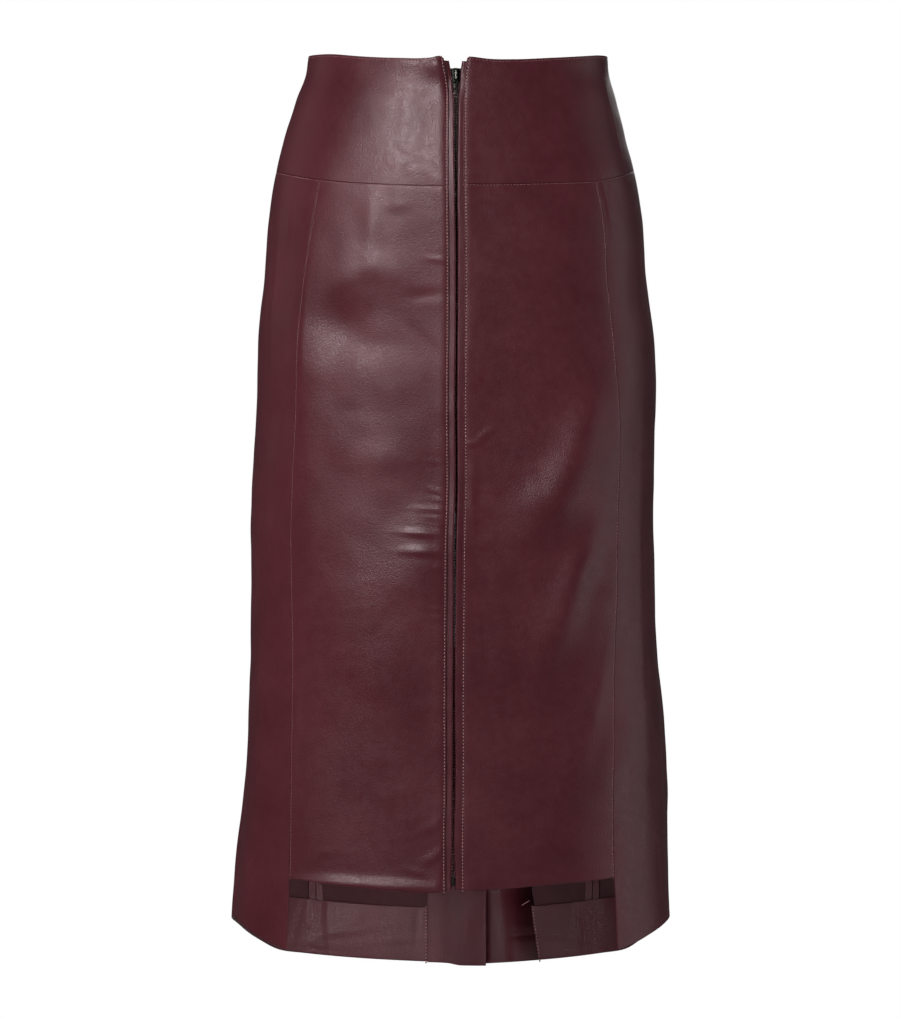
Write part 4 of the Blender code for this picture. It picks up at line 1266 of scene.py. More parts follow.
class Board:
    """Adds nodes to one node tree, with their values and links."""

    def __init__(self, tree: NodeTree) -> None:
        """Keeps the tree that the nodes go into."""
        self.tree = tree

    def add(self, kind: str, inputs: dict | None = None, **settings: object) -> Node:
        """Adds a node.

        Args:
            kind: the node's type.
            inputs: a value or an output to link, for each input by its name or number.
            settings: the node's own properties.

        Returns:
            The new node.
        """
        node = self.tree.nodes.new(kind)
        for name, value in settings.items():
            setattr(node, name, value)
        for key, value in (inputs or {}).items():
            if isinstance(value, NodeSocket):
                self.tree.links.new(value, node.inputs[key])
            else:
                node.inputs[key].default_value = value
        return node

    def get(self, socket: str, kind: str, inputs: dict | None = None, **settings: object):
        """Adds a node and returns one of its outputs, given by name."""
        return self.add(kind, inputs, **settings).outputs[socket]

    def math(self, operation: str, *values: object) -> NodeSocket:
        """Adds a Math node and returns its output."""
        return self.add("ShaderNodeMath", dict(enumerate(values)), operation=operation).outputs[0]

    def shift(self, operation: str, *values: object, **named: object) -> NodeSocket:
        """Adds a Vector Math node and returns its vector."""
        inputs = {**dict(enumerate(values)), **named}
        return self.add("ShaderNodeVectorMath", inputs, operation=operation).outputs["Vector"]

    def spread(self, value: object, *limits: float) -> NodeSocket:
        """Maps a value from limits[0:2] to limits[2:4] and returns it."""
        names = ("From Min", "From Max", "To Min", "To Max")
        inputs = {"Value": value, **dict(zip(names, limits))}
        return self.add("ShaderNodeMapRange", inputs).outputs["Result"]

    def tint(self, share: object, low: object, high: object) -> NodeSocket:
        """Mixes two colours by a share and returns the colour."""
        inputs = {"Factor": share, "A": low, "B": high}
        inputs = {k: (*v, 1.0) if isinstance(v, tuple) else v for k, v in inputs.items()}
        return self.get("Result", "ShaderNodeMix", inputs, data_type="RGBA")

    def place(self, group: NodeTree, **values: float) -> Node:
        """Adds a shared shader group on Object coordinates, with its values by name."""
        inputs = {label.replace("_", " "): value for label, value in values.items()}
        inputs["Vector"] = self.get("Object", "ShaderNodeTexCoord")
        return self.add("ShaderNodeGroup", inputs, node_tree=group)

    @staticmethod
    def group(name: str, kind: str, inputs: dict, outputs: dict):
        """Makes an empty node group.

        Args:
            name: the group's name.
            kind: the group's type.
            inputs: the socket type of each input by name.
            outputs: the socket type of each output by name.

        Returns:
            A board for the group, its input node's outputs and its output node.
        """
        tree = bpy.data.node_groups.new(name, kind)
        for way, sockets in (("INPUT", inputs), ("OUTPUT", outputs)):
            for label, word in sockets.items():
                tree.interface.new_socket(label, in_out=way, socket_type=f"NodeSocket{word}")
        board = Board(tree)
        given = board.add("NodeGroupInput").outputs
        return board, given, board.add("NodeGroupOutput")


Colour = tuple[float, float, float]


@dataclass(frozen=True)
class LeatherFinish:
    """Dyed leather with a grain."""

    name: str
    dark: Colour
    light: Colour
    roughness: float
    pebble: float
    depth: float
    sheen: float = 0.0
    edge: Colour = (0.030, 0.0050, 0.0080)
    edge_share: float = 0.15
    shine: Colour = (1.0, 0.86, 0.88)


GRAIN = LeatherFinish(
    "burgundy_grain_leather", (0.060, 0.0084, 0.0135), (0.082, 0.0124, 0.0195),
    0.38, 1.1 * MM, 0.115 * MM,
)
# The flesh side: its own duller tone, and darker still as painted shade, for the shadow that the
# front hem casts inside above the facings.
FLESH_AND_SHADE = LeatherFinish(
    "burgundy_flesh_leather", (0.038, 0.0095, 0.0122), (0.058, 0.0155, 0.0190),
    0.80, 0.7 * MM, 0.080 * MM, 0.20,
)


@dataclass(frozen=True)
class MetalFinish:
    """Plated metal, with its colours from the dullest place to the brightest."""

    name: str
    low: Colour
    high: Colour


METALS = {
    "metal": MetalFinish("gunmetal_plating", (0.006, 0.006, 0.005), (0.034, 0.034, 0.030)),
    # tooth: a near-black copy of the gunmetal, painted shade on one tape's teeth down in the gap
    # and on the slider's plates.
    "tooth": MetalFinish("dark_gunmetal", (0.003, 0.003, 0.003), (0.014, 0.014, 0.013)),
    # A light copy of the gunmetal, painted glints on the heads of the other tape's teeth.
    "worn": MetalFinish("polished_tooth_edges", (0.20, 0.19, 0.175), (0.42, 0.40, 0.37)),
    "bright": MetalFinish("worn_gunmetal", (0.055, 0.058, 0.051), (0.15, 0.16, 0.14)),
}


@dataclass(frozen=True)
class ThreadFinish:
    """Dull thread, or the painted shade of a needle hole."""

    name: str
    colour: Colour


THREADS = {
    "thread": ThreadFinish("burgundy_thread", (0.50, 0.215, 0.22)),
    "seam_thread": ThreadFinish("deep_burgundy_thread", (0.40, 0.16, 0.165)),
    "tack": ThreadFinish("rose_thread", (0.42, 0.20, 0.21)),
    # The needle hole's colour is painted shade: a dark disc on the leather stands for the hole's
    # shadow.
    "hole": ThreadFinish("needle_hole", (0.012, 0.003, 0.004)),
}


class Finishes:
    """The finishes of the skirt, with the node groups that they share."""

    def __init__(self) -> None:
        """Builds the shared groups and every material."""
        self.pebble = self.pebble_group()
        self.drift = self.drift_group()
        self.materials = {
            "grain": self.leather(GRAIN),
            "flesh": self.leather(FLESH_AND_SHADE),
            **{use: self.thread(thread) for use, thread in THREADS.items()},
            "tape": self.tape(),
            **{use: self.gunmetal(metal) for use, metal in METALS.items()},
        }

    @staticmethod
    def start(name: str) -> tuple[Material, Board, dict]:
        """Makes a material and returns it with its board and its shader's sockets."""
        material = bpy.data.materials.new(name)
        material.use_nodes = True
        tree = material.node_tree
        return material, Board(tree), tree.nodes["Principled BSDF"].inputs

    @staticmethod
    def pebble_group() -> NodeTree:
        """Builds the leather's grain: soft cells with fine wrinkles over them."""
        sockets = {"Vector": "Vector", "Cell Size": "Float"}, {"Height": "Float"}
        board, given, result = Board.group("pebble_grain", "ShaderNodeTree", *sockets)
        place = given["Vector"]
        per_metre = board.math("DIVIDE", 1.0, given["Cell Size"])
        wander = {"Vector": place, "Scale": 260.0, "Detail": 2.0}
        bend = board.get("Color", "ShaderNodeTexNoise", wander)
        amount = board.shift("SCALE", bend, Scale=1.6 * MM)
        moved = board.shift("ADD", place, amount)
        soft = {"Vector": moved, "Scale": per_metre, "Smoothness": 0.55}
        cells = board.get("Distance", "ShaderNodeTexVoronoi", soft, feature="SMOOTH_F1")
        wrinkles = {"Vector": place, "Scale": 1600.0, "Detail": 3.0}
        fine = board.get("Fac", "ShaderNodeTexNoise", wrinkles)
        domes = board.math("SUBTRACT", 1.0, cells)
        height = board.math("MULTIPLY_ADD", fine, 0.4, domes)
        board.tree.links.new(height, result.inputs["Height"])
        return board.tree

    @staticmethod
    def drift_group() -> NodeTree:
        """Builds the slow drift of tone over a surface, from 0 to 1."""
        sockets = {"Vector": "Vector", "Patch Size": "Float"}, {"Value": "Float"}
        board, given, result = Board.group("tone_drift", "ShaderNodeTree", *sockets)
        scale = board.math("DIVIDE", 1.0, given["Patch Size"])
        patches = {"Vector": given["Vector"], "Scale": scale, "Detail": 5.0, "Roughness": 0.55}
        noise = board.get("Fac", "ShaderNodeTexNoise", patches)
        value = board.math("MULTIPLY_ADD", noise, 2.5, -0.75)
        board.tree.links.new(value, result.inputs["Value"])
        return board.tree

    def leather(self, finish: LeatherFinish) -> Material:
        """Builds one side of the leather."""
        material, board, shader = self.start(finish.name)
        link = board.tree.links.new
        patches = board.place(self.drift, Patch_Size=0.055).outputs["Value"]
        specks = board.place(self.drift, Patch_Size=0.007).outputs["Value"]
        tone = board.tint(patches, finish.dark, finish.light)
        tone = board.tint(board.spread(specks, 0.0, 1.0, 0.35, 0.0), tone, finish.dark)
        edge = board.get("Fac", "ShaderNodeAttribute", attribute_name="edge")
        burnt = board.math("MULTIPLY", edge, finish.edge_share)
        link(board.tint(burnt, tone, finish.edge), shader["Base Color"])
        gloss = board.math("MULTIPLY_ADD", specks, 0.10, finish.roughness - 0.05)
        link(board.math("MULTIPLY_ADD", patches, 0.05, gloss), shader["Roughness"])
        grain = board.place(self.pebble, Cell_Size=finish.pebble).outputs["Height"]
        bump = board.add("ShaderNodeBump", {"Distance": finish.depth, "Height": grain})
        wrinkle = board.place(self.drift, Patch_Size=0.012).outputs["Value"]
        soft = {"Distance": 0.06 * MM, "Height": wrinkle, "Normal": bump.outputs["Normal"]}
        link(board.add("ShaderNodeBump", soft).outputs["Normal"], shader["Normal"])
        shader["Sheen Weight"].default_value = finish.sheen
        shader["Specular Tint"].default_value = (*finish.shine, 1.0)
        return material

    def thread(self, finish: ThreadFinish) -> Material:
        """Builds a dull thread with an uneven tone."""
        material, board, shader = self.start(finish.name)
        patches = board.place(self.drift, Patch_Size=0.002).outputs["Value"]
        low = tuple(c * 0.75 for c in finish.colour)
        board.tree.links.new(board.tint(patches, low, finish.colour), shader["Base Color"])
        shader["Roughness"].default_value = 0.6
        return material

    def tape(self) -> Material:
        """Builds the zip's black woven tape, with a herringbone on its UV map."""
        material, board, shader = self.start("black_woven_tape")
        link = board.tree.links.new
        place = board.get("UV", "ShaderNodeUVMap", uv_map="cloth")
        ribs = []
        for tilt in (45.0, -45.0):
            twist = {"Vector": place, "Rotation": (0.0, 0.0, tilt * DEG)}
            turned = board.get("Vector", "ShaderNodeMapping", twist)
            ribs.append(board.get("Fac", "ShaderNodeTexWave", {"Vector": turned, "Scale": 240.0}))
        weave = board.math("MAXIMUM", *ribs)
        bump = board.add("ShaderNodeBump", {"Distance": 0.12 * MM, "Height": weave})
        link(bump.outputs["Normal"], shader["Normal"])
        tone = board.tint(weave, (0.0025, 0.0025, 0.003), (0.011, 0.011, 0.012))
        link(tone, shader["Base Color"])
        shader["Roughness"].default_value = 0.85
        return material

    def gunmetal(self, finish: MetalFinish) -> Material:
        """Builds plated metal with a worn, uneven shine."""
        material, board, shader = self.start(finish.name)
        link = board.tree.links.new
        patches = board.place(self.drift, Patch_Size=0.0012).outputs["Value"]
        link(board.tint(patches, finish.low, finish.high), shader["Base Color"])
        link(board.spread(patches, 0.0, 1.0, 0.22, 0.42), shader["Roughness"])
        shader["Metallic"].default_value = 1.0
        return material


class Repeat:
    """A Geometry Nodes tree that puts shapes at even steps along the edges of a mesh."""

    def __init__(self, name: str, sockets: dict[str, str]) -> None:
        """Starts the tree with its inputs, and finds the steps and their directions.

        Args:
            name: the tree's name.
            sockets: the type of each input by name, beside the path and the pitch.
        """
        sockets = {"Geometry": "Geometry", "Pitch": "Float", **sockets}
        made = Board.group(name, "GeometryNodeTree", sockets, {"Geometry": "Geometry"})
        self.board, self.given, self.result = made
        get = self.board.get
        curve = get("Curve", "GeometryNodeMeshToCurve", {"Mesh": self.given["Geometry"]})
        even = {"Curve": curve, "Length": self.given["Pitch"]}
        self.steps = get("Curve", "GeometryNodeResampleCurve", even, mode="LENGTH")
        named, holds = {"Name": "out"}, {"data_type": "FLOAT_VECTOR"}
        self.out = get("Attribute", "GeometryNodeInputNamedAttribute", named, **holds)
        self.way = get("Tangent", "GeometryNodeInputTangent")
        self.join = self.board.add("GeometryNodeJoinGeometry")

    def facing(self, axes: str, first: object, second: object) -> NodeSocket:
        """Returns the rotation that lays two axes, such as "ZX", along two directions."""
        return self.board.get(
            "Rotation", "FunctionNodeAxesToRotation",
            {"Primary Axis": first, "Secondary Axis": second},
            primary_axis=axes[0], secondary_axis=axes[1],
        )

    def put(self, shape: object, rotation: object, material: str, **chosen: object) -> None:
        """Puts a shape on the steps, as real mesh.

        Args:
            shape: the geometry.
            rotation: how it is turned at each step.
            material: the input that gives its material.
            chosen: Selection, if it goes on some of the steps only.
        """
        inputs = {"Points": self.steps, "Instance": shape, "Rotation": rotation, **chosen}
        get = self.board.get
        copies = get("Instances", "GeometryNodeInstanceOnPoints", inputs)
        real = get("Geometry", "GeometryNodeRealizeInstances", {"Geometry": copies})
        dress = {"Geometry": real, "Material": self.given[material]}
        dressed = get("Geometry", "GeometryNodeSetMaterial", dress)
        self.board.tree.links.new(dressed, self.join.inputs["Geometry"])

    def finish(self) -> NodeTree:
        """Joins the shapes and returns the tree."""
        links = self.board.tree.links
        links.new(self.join.outputs["Geometry"], self.result.inputs["Geometry"])
        return self.board.tree


# The inputs of the stitches' tree, in the order of a Stitch's sizes.
STITCH_SIZES = ("Pitch", "Length", "Thread Radius", "Rise", "Sink", "Hole Radius", "Sway")


class StitchMaker:
    """Sews rows of stitches along paths, with Geometry Nodes."""

    def __init__(self, finishes: Finished) -> None:
        """Keeps the finishes and builds the node tree."""
        self.finishes = finishes
        self.tree = self.stitch_tree()

    @staticmethod
    def stitch_tree() -> NodeTree:
        """Builds the tree: a bent thread and a needle hole's painted shade at each step of the
        path.
        """
        sockets = {label: "Float" for label in STITCH_SIZES}
        repeat = Repeat("stitch_rows", {**sockets, "Thread": "Material", "Hole": "Material"})
        board, given, get = repeat.board, repeat.given, repeat.board.get
        facing = repeat.facing("ZX", repeat.out, repeat.way)
        back = board.math("MULTIPLY", given["Sway"], -1.0)
        limits = {"Min": back, "Max": given["Sway"], "Seed": 5}
        sway = board.add("FunctionNodeRandomValue", limits, data_type="FLOAT")
        about = {"Axis": (0.0, 0.0, 1.0), "Angle": sway.outputs[1]}
        small_turn = get("Rotation", "FunctionNodeAxisAngleToRotation", about)
        both = {"Rotation": facing, "Rotate By": small_turn}
        turned = get("Rotation", "FunctionNodeRotateRotation", both, rotation_space="LOCAL")
        half = board.math("MULTIPLY", given["Length"], 0.5)
        minus_half = board.math("MULTIPLY", half, -1.0)
        down = board.math("MULTIPLY", given["Sink"], -1.0)
        ends = [
            get("Vector", "ShaderNodeCombineXYZ", {"X": x, "Z": z})
            for x, z in ((minus_half, down), (0.0, given["Rise"]), (half, down))
        ]
        bend = {"Resolution": 5, "Start": ends[0], "Middle": ends[1], "End": ends[2]}
        arc = get("Curve", "GeometryNodeCurveQuadraticBezier", bend)
        round_way = {"Resolution": 6, "Radius": given["Thread Radius"]}
        ring = get("Curve", "GeometryNodeCurvePrimitiveCircle", round_way)
        swept = {"Curve": arc, "Profile Curve": ring, "Fill Caps": True}
        thread = get("Mesh", "GeometryNodeCurveToMesh", swept)
        # The needle hole is a flat disc whose dark colour is painted shade.
        cone = {
            "Vertices": 8,
            "Radius Top": board.math("MULTIPLY", given["Hole Radius"], 0.7),
            "Radius Bottom": given["Hole Radius"],
            "Depth": 0.05 * MM,
        }
        disc = get("Mesh", "GeometryNodeMeshCone", cone)
        between = {"X": board.math("MULTIPLY", given["Pitch"], 0.5), "Z": 0.07 * MM}
        beside = get("Vector", "ShaderNodeCombineXYZ", between)
        moved = {"Geometry": disc, "Translation": beside}
        hole = get("Geometry", "GeometryNodeTransform", moved)
        repeat.put(thread, turned, "Thread")
        repeat.put(hole, facing, "Hole")
        return repeat.finish()

    def sew(self, name: str, paths: list[Path], stitch: Stitch, thread: str) -> None:
        """Sews stitches along paths.

        Args:
            name: the piece's name.
            paths: where the stitches go.
            stitch: their sizes.
            thread: the finish of the thread.
        """
        values = dict(zip(STITCH_SIZES, astuple(stitch)))
        values |= {"Thread": self.finishes[thread], "Hole": self.finishes["hole"]}
        piece = grown(name, path_mesh(name, paths), self.tree, values)
        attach(piece, "skirt")
        LOG.info("%s: %d faces", name, len(piece.data.polygons))


def path_mesh(name: str, paths: list[Path]) -> Mesh:
    """Makes a mesh of bare edges along paths, which keeps their directions out."""
    points = np.concatenate([path.points for path in paths])
    out = np.concatenate([path.out for path in paths])
    edges, start = [], 0
    for path in paths:
        count = len(path.points)
        edges += [(start + i, start + i + 1) for i in range(count - 1)]
        start += count
    data = bpy.data.meshes.new(name)
    data.from_pydata(points.tolist(), edges, [])
    layer = data.attributes.new("out", "FLOAT_VECTOR", "POINT")
    layer.data.foreach_set("vector", out.astype(np.float32).ravel())
    return data


def grown(name: str, data: Mesh, tree: NodeTree, values: dict[str, object]) -> Object:
    """Runs a node tree on a mesh and returns the result as a plain mesh object.

    Args:
        name: the object's name.
        data: the mesh that the tree starts from.
        tree: the node tree.
        values: the tree's inputs by name.
    """
    seed = placed(f"{name}_path", data)
    modifier = seed.modifiers.new("nodes", "NODES")
    modifier.node_group = tree
    for item in tree.interface.items_tree:
        if item.in_out == "INPUT" and item.name in values:
            modifier[item.identifier] = values[item.name]
    result = evaluated(seed)
    result.name = name
    result.shade_smooth()
    return placed(name, result)


def rounded(outline: Sequence[tuple[float, float]], radius: float, steps: int = 3) -> list:
    """Returns a closed outline with its corners rounded.

    Args:
        outline: its corners.
        radius: how far along each side a corner's curve starts.
        steps: the number of divisions of each corner.
    """
    points = []
    turns = [Vector(point) for point in outline]
    for index, corner in enumerate(turns):
        before = turns[index - 1] - corner
        after = turns[(index + 1) % len(turns)] - corner
        start = corner + before.normalized() * min(radius, before.length * 0.49)
        end = corner + after.normalized() * min(radius, after.length * 0.49)
        for step in range(steps + 1):
            part = step / steps
            bend = corner * (2 * part * (1 - part))
            points.append(start * (1 - part) ** 2 + bend + end * part**2)
    return [tuple(point) for point in points]


# Metal edges that turn by more than this stay sharp.
SHARP = 40 * DEG


class Plane(Enum):
    """Which way a pressed plate faces: the axes of its outline and of its thickness."""

    FRONT = ((1, 0, 0), (0, 0, 1), (0, -1, 0))
    SIDE = ((0, 1, 0), (0, 0, 1), (1, 0, 0))


@dataclass(frozen=True)
class Plate:
    """A pressed metal plate with softened edges, between two depths."""

    loops: tuple
    low: float
    high: float
    soft: float
    plane: Plane = Plane.FRONT

    def mesh(self) -> Mesh:
        """Makes the plate's closed mesh."""
        curve = bpy.data.curves.new("plate", "CURVE")
        curve.dimensions = "2D"
        curve.fill_mode = "BOTH"
        curve.extrude = (self.high - self.low) / 2 - self.soft
        curve.bevel_depth = self.soft
        curve.bevel_resolution = 2
        curve.offset = -self.soft
        for loop in self.loops:
            spline = curve.splines.new("POLY")
            spline.points.add(len(loop) - 1)
            for point, place in zip(spline.points, loop):
                point.co = (*place, 0.0, 1.0)
            spline.use_cyclic_u = True
        data = evaluated(placed("plate", curve))
        across, up, through = (Vector(axis) for axis in self.plane.value)
        turn = Matrix((across, up, through)).transposed().to_4x4()
        depth_axis = Vector((0, 1, 0)) if self.plane == Plane.FRONT else through
        middle = depth_axis * (self.low + self.high) / 2
        data.transform(Matrix.Translation(middle) @ turn)
        return data


def bar(radius: float, length: float, sides: int = 16) -> Mesh:
    """Makes a round bar with softened ends, along X with its middle at the origin.

    Args:
        radius: its radius.
        length: its length.
        sides: the number of faces round it.
    """
    mesh = bmesh.new()
    bmesh.ops.create_cone(
        mesh, cap_ends=True, segments=sides, radius1=radius, radius2=radius, depth=length
    )
    ends = [edge for edge in mesh.edges if abs(edge.verts[0].co.z - edge.verts[1].co.z) < 1e-7]
    bmesh.ops.bevel(mesh, geom=ends, offset=radius * 0.3, segments=2, affect="EDGES")
    mesh.transform(Matrix.Rotation(math.pi / 2, 4, "Y"))
    return meshed("bar", mesh)


def fused(name: str, shapes: list[Mesh], matrix: Matrix, finish: Material):
    """Joins closed meshes into one smooth-shaded object.

    Args:
        name: the object's name.
        shapes: the meshes, in the frame that the matrix gives.
        matrix: where the frame lies.
        finish: the material.
    """
    mesh = bmesh.new()
    for shape in shapes:
        mesh.from_mesh(shape)
        bpy.data.meshes.remove(shape)
    bmesh.ops.remove_doubles(mesh, verts=mesh.verts, dist=1e-6)
    bmesh.ops.recalc_face_normals(mesh, faces=mesh.faces)
    mesh.transform(matrix)
    data = meshed(name, mesh)
    data.shade_smooth()
    data.set_sharp_from_angle(angle=SHARP)
    data.materials.append(finish)
    return placed(name, data)


# One tooth from its foot to its head, in millimetres: the place, half height and half depth.
TOOTH = (
    (-2.10, 0.34, 0.95),
    (-1.85, 0.42, 1.10),
    (-0.55, 0.42, 1.10),
    (-0.20, 0.34, 0.92),
    (0.45, 0.34, 0.92),
    (0.75, 0.22, 0.66),
)
TOOTH_SIDES = 8
TOOTH_SQUARENESS = 1.12


@dataclass
class ZipFastener:
    """The zip: leather strips, woven tapes, teeth, slider, pull and bottom box."""

    form: HollowForm
    pattern: Pattern
    finishes: Finished
    pull_axis: Vector
    strip_offset: float = -1.8 * MM
    strip_thickness: float = 1.8 * MM
    strip_rise: float = 1.5 * MM
    strip_rise_reach: float = 7.0 * MM
    strip_outer_edge: float = 12.5 * MM
    strip_top: float = 8.8 * MM
    strip_bottom_short: float = 0.5 * MM
    tape_top: float = 15.7 * MM
    tape_bottom_short: float = 1.2 * MM
    tape_inner: float = 2.4 * MM
    tape_outer_edge: float = 13.5 * MM
    tape_thickness: float = 1.0 * MM
    bead_width: float = 1.6 * MM
    bead_depth: float = 5.6 * MM
    bead_middle: float = 3.2 * MM
    bead_radius: float = 0.8 * MM
    bead_swell: float = 0.25 * MM
    tape_depth: float = 4.0 * MM
    tape_ramp: float = 2.4 * MM
    chain_top: float = 19.1 * MM
    chain_bottom: float = 692.1 * MM
    chain_depth: float = 6.1 * MM
    chain_points: int = 240
    tooth_pitch: float = 1.27 * MM
    slider_top: float = 13.9 * MM
    slider_length: float = 12.2 * MM
    slider_half_width: float = 3.5 * MM
    front_plate: tuple[float, float] = (3.9 * MM, 4.7 * MM)
    back_plate: tuple[float, float] = (7.5 * MM, 8.3 * MM)
    rail_width: float = 0.55 * MM
    rail_height: float = 0.75 * MM
    overlap: float = 0.1 * MM
    crown_top: float = -1.0 * MM
    crown_length: float = 10.1 * MM
    crown_height: float = 2.9 * MM
    crown_half_width: float = 0.95 * MM
    crown_thickness: float = 0.75 * MM
    crown_aside: float = 0.5 * MM
    pull_length: float = 12.2 * MM
    pull_half_width: float = 1.8 * MM
    pull_thickness: float = 0.8 * MM
    pull_slot_half_width: float = 1.0 * MM
    pull_slot_end: float = 4.6 * MM
    pull_bar: float = 0.55 * MM
    box_top: float = 692.4 * MM
    box_length: float = 7.4 * MM
    box_half_width: float = 2.0 * MM
    box_depth: float = 3.2 * MM
    ridge_half_width: float = 1.1 * MM
    ridge_height: float = 1.4 * MM
    foot_length: float = 1.3 * MM
    foot_extra: float = 0.5 * MM

    def frame_at(self, below: float) -> Matrix:
        """Returns a frame on the form at the zip: X across, Z up the leather, Y inwards."""
        z = np.asarray(-below)
        turn = self.form.turn_at(self.pattern.zip_x(z), z)
        lift = self.form.raised(turn, z, self.form.folds)
        here = self.form.bare(turn, z) + self.form.outward(turn, z) * lift[..., None]
        inwards = -Vector(self.form.outward(turn, z))
        inwards.x = 0.0
        inwards.normalize()
        across = Vector((1.0, 0.0, 0.0))
        matrix = Matrix((across, inwards, across.cross(inwards))).transposed().to_4x4()
        matrix.translation = Vector(here)
        return matrix

    def slider_frame(self) -> Matrix:
        """Returns the slider's frame, with its origin at the slider's top."""
        half = self.slider_length / 2
        return self.frame_at(self.slider_top + half) @ Matrix.Translation((0.0, 0.0, half))

    def strip_face(self, turn: Array, z: Array) -> Array:
        """Returns how deep the right strip lies: it rises a little towards the zip."""
        away = self.pattern.zip_x(z) - self.form.bare(turn, z)[..., 0]
        return self.strip_offset + self.strip_rise * (1 - ramp(away, 0.0, self.strip_rise_reach))

    def tape_offset(self, turn: Array, z: Array) -> Array:
        """Returns how deep the tape lies: deepest at its beaded edge between the teeth."""
        away = np.abs(self.form.bare(turn, z)[..., 0] - self.pattern.zip_x(z))
        bead_end = self.tape_inner + self.bead_width
        rise = ramp(away, bead_end, bead_end + self.tape_ramp)
        from_middle = (away - self.bead_middle) / self.bead_radius
        round_bead = np.sqrt(np.clip(1 - from_middle**2, 0, 1))
        depth = self.bead_depth + (self.tape_depth - self.bead_depth) * rise
        return -(depth - self.bead_swell * round_bead)

    def add_strips(self) -> None:
        """Adds the folded leather strips that meet over the teeth, and the tapes under them."""
        lines = self.pattern
        hem = float(lines.front_hem(np.asarray(0.0)))
        styles = styled(CUT, CUT, FOLDED, FOLDED)
        for side, word in WORDS.items():
            gap = lines.from_zip(side, lines.zip_gap)
            outer = lines.from_zip(side, self.strip_outer_edge)
            ends = lines.ordered(side, gap, outer)
            inner_edge = Side.END if side == RIGHT else Side.START
            strip = SewnPiece(
                f"sewn_zip_strip_{word}", f"zip_strip_{word}", *ends,
                lines.level(-self.strip_top), lines.level(hem + self.strip_bottom_short),
                self.strip_face if side == RIGHT else self.strip_offset,
                self.strip_thickness, {**styles, inner_edge: ROLLED},
                (f"sewn_front_panel_{word}",), ("grain", "flesh"), column_step=1.4 * MM,
            )
            near = lines.from_zip(side, self.tape_inner)
            far = lines.from_zip(side, self.tape_outer_edge)
            ends = lines.ordered(side, near, far)
            tape = SewnPiece(
                f"woven_zip_tape_{word}", f"zip_tape_{word}", *ends,
                lines.level(-self.tape_top), lines.level(hem + self.tape_bottom_short),
                self.tape_offset, self.tape_thickness, styles,
                (f"sewn_zip_strip_{word}",), ("tape", "tape"), slot="zip_tape",
                column_step=0.8 * MM, row_step=4.0 * MM,
            )
            for piece in (strip, tape):
                piece.build(self.form, self.finishes)
                piece.declare()

    def tooth(self) -> Object:
        """Makes one tooth: a clamped foot, a neck and a rounded head, pointing to +X."""
        mesh = bmesh.new()
        angles = (np.arange(TOOTH_SIDES) + 0.5) * 2 * math.pi / TOOTH_SIDES
        sides = np.stack([np.cos(angles), np.sin(angles)], axis=1) * TOOTH_SQUARENESS
        sides = np.clip(sides, -1.0, 1.0).tolist()
        rings = [
            [mesh.verts.new((x * MM, y * deep * MM, z * high * MM)) for y, z in sides]
            for x, high, deep in TOOTH
        ]
        for first, second in zip(rings, rings[1:]):
            for index in range(TOOTH_SIDES):
                after = (index + 1) % TOOTH_SIDES
                mesh.faces.new((first[index], first[after], second[after], second[index]))
        mesh.faces.new(rings[0][::-1])
        mesh.faces.new(rings[-1])
        bmesh.ops.recalc_face_normals(mesh, faces=mesh.faces)
        return placed("tooth", meshed("tooth", mesh))

    @staticmethod
    def teeth_tree() -> NodeTree:
        """Builds the node tree: a tooth at each step, from one tape and then the other, dark for
        painted shade and light for painted glints by turns.
        """
        sockets = {"Tooth": "Object", "Metal": "Material", "Worn Metal": "Material"}
        repeat = Repeat("zip_teeth", sockets)
        board = repeat.board
        inwards = board.shift("SCALE", repeat.out, Scale=-1.0)
        odd = board.math("MODULO", board.get("Index", "GeometryNodeInputIndex"), 2.0)
        flip = board.math("MULTIPLY_ADD", odd, -2.0, 1.0)
        way = board.shift("SCALE", repeat.way, Scale=flip)
        facing = repeat.facing("YZ", inwards, way)
        asked = {"Object": repeat.given["Tooth"]}
        tooth = board.get("Geometry", "GeometryNodeObjectInfo", asked)
        # Shade and glint are painted: the even teeth take the near-black metal, the odd teeth the
        # light one.
        even = board.math("SUBTRACT", 1.0, odd)
        repeat.put(tooth, facing, "Metal", Selection=even)
        repeat.put(tooth, facing, "Worn Metal", Selection=odd)
        return repeat.finish()

    def add_teeth(self) -> None:
        """Adds the closed rows of teeth between the slider and the bottom box."""
        z = np.linspace(-self.chain_top, -self.chain_bottom, self.chain_points)
        turn = self.form.turn_at(self.pattern.zip_x(z), z)
        path = Path(
            self.form.place(turn, z, np.full(z.shape, -self.chain_depth)),
            self.form.outward(turn, z),
        )
        tooth = self.tooth()
        # One tape's teeth take the near-black metal, painted shade, and the other tape's the light
        # metal, painted glints.
        values = {"Tooth": tooth, "Pitch": self.tooth_pitch, "Metal": self.finishes["tooth"]}
        values["Worn Metal"] = self.finishes["worn"]
        piece = grown("zip_teeth", path_mesh("zip_teeth", [path]), self.teeth_tree(), values)
        bpy.data.objects.remove(tooth)
        piece.data.set_sharp_from_angle(angle=SHARP)
        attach(piece, "skirt")
        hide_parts("zip_chain")
        LOG.info("zip_teeth: %d faces", len(piece.data.polygons))

    def slider_outline(self) -> list[tuple[float, float]]:
        """Returns the slider plates' outline: wide shoulders, a waist and a narrower mouth."""
        wide, end = self.slider_half_width, -self.slider_length
        half = [(1.2 * MM, 0.0), (wide - 0.3 * MM, -0.5 * MM), (wide, -3.2 * MM)]
        half += [(wide - 0.7 * MM, -6.4 * MM), (wide - 0.55 * MM, end + 0.7 * MM)]
        half += [(wide - 1.1 * MM, end)]
        return rounded(half + [(-x, z) for x, z in reversed(half)], 0.9 * MM)

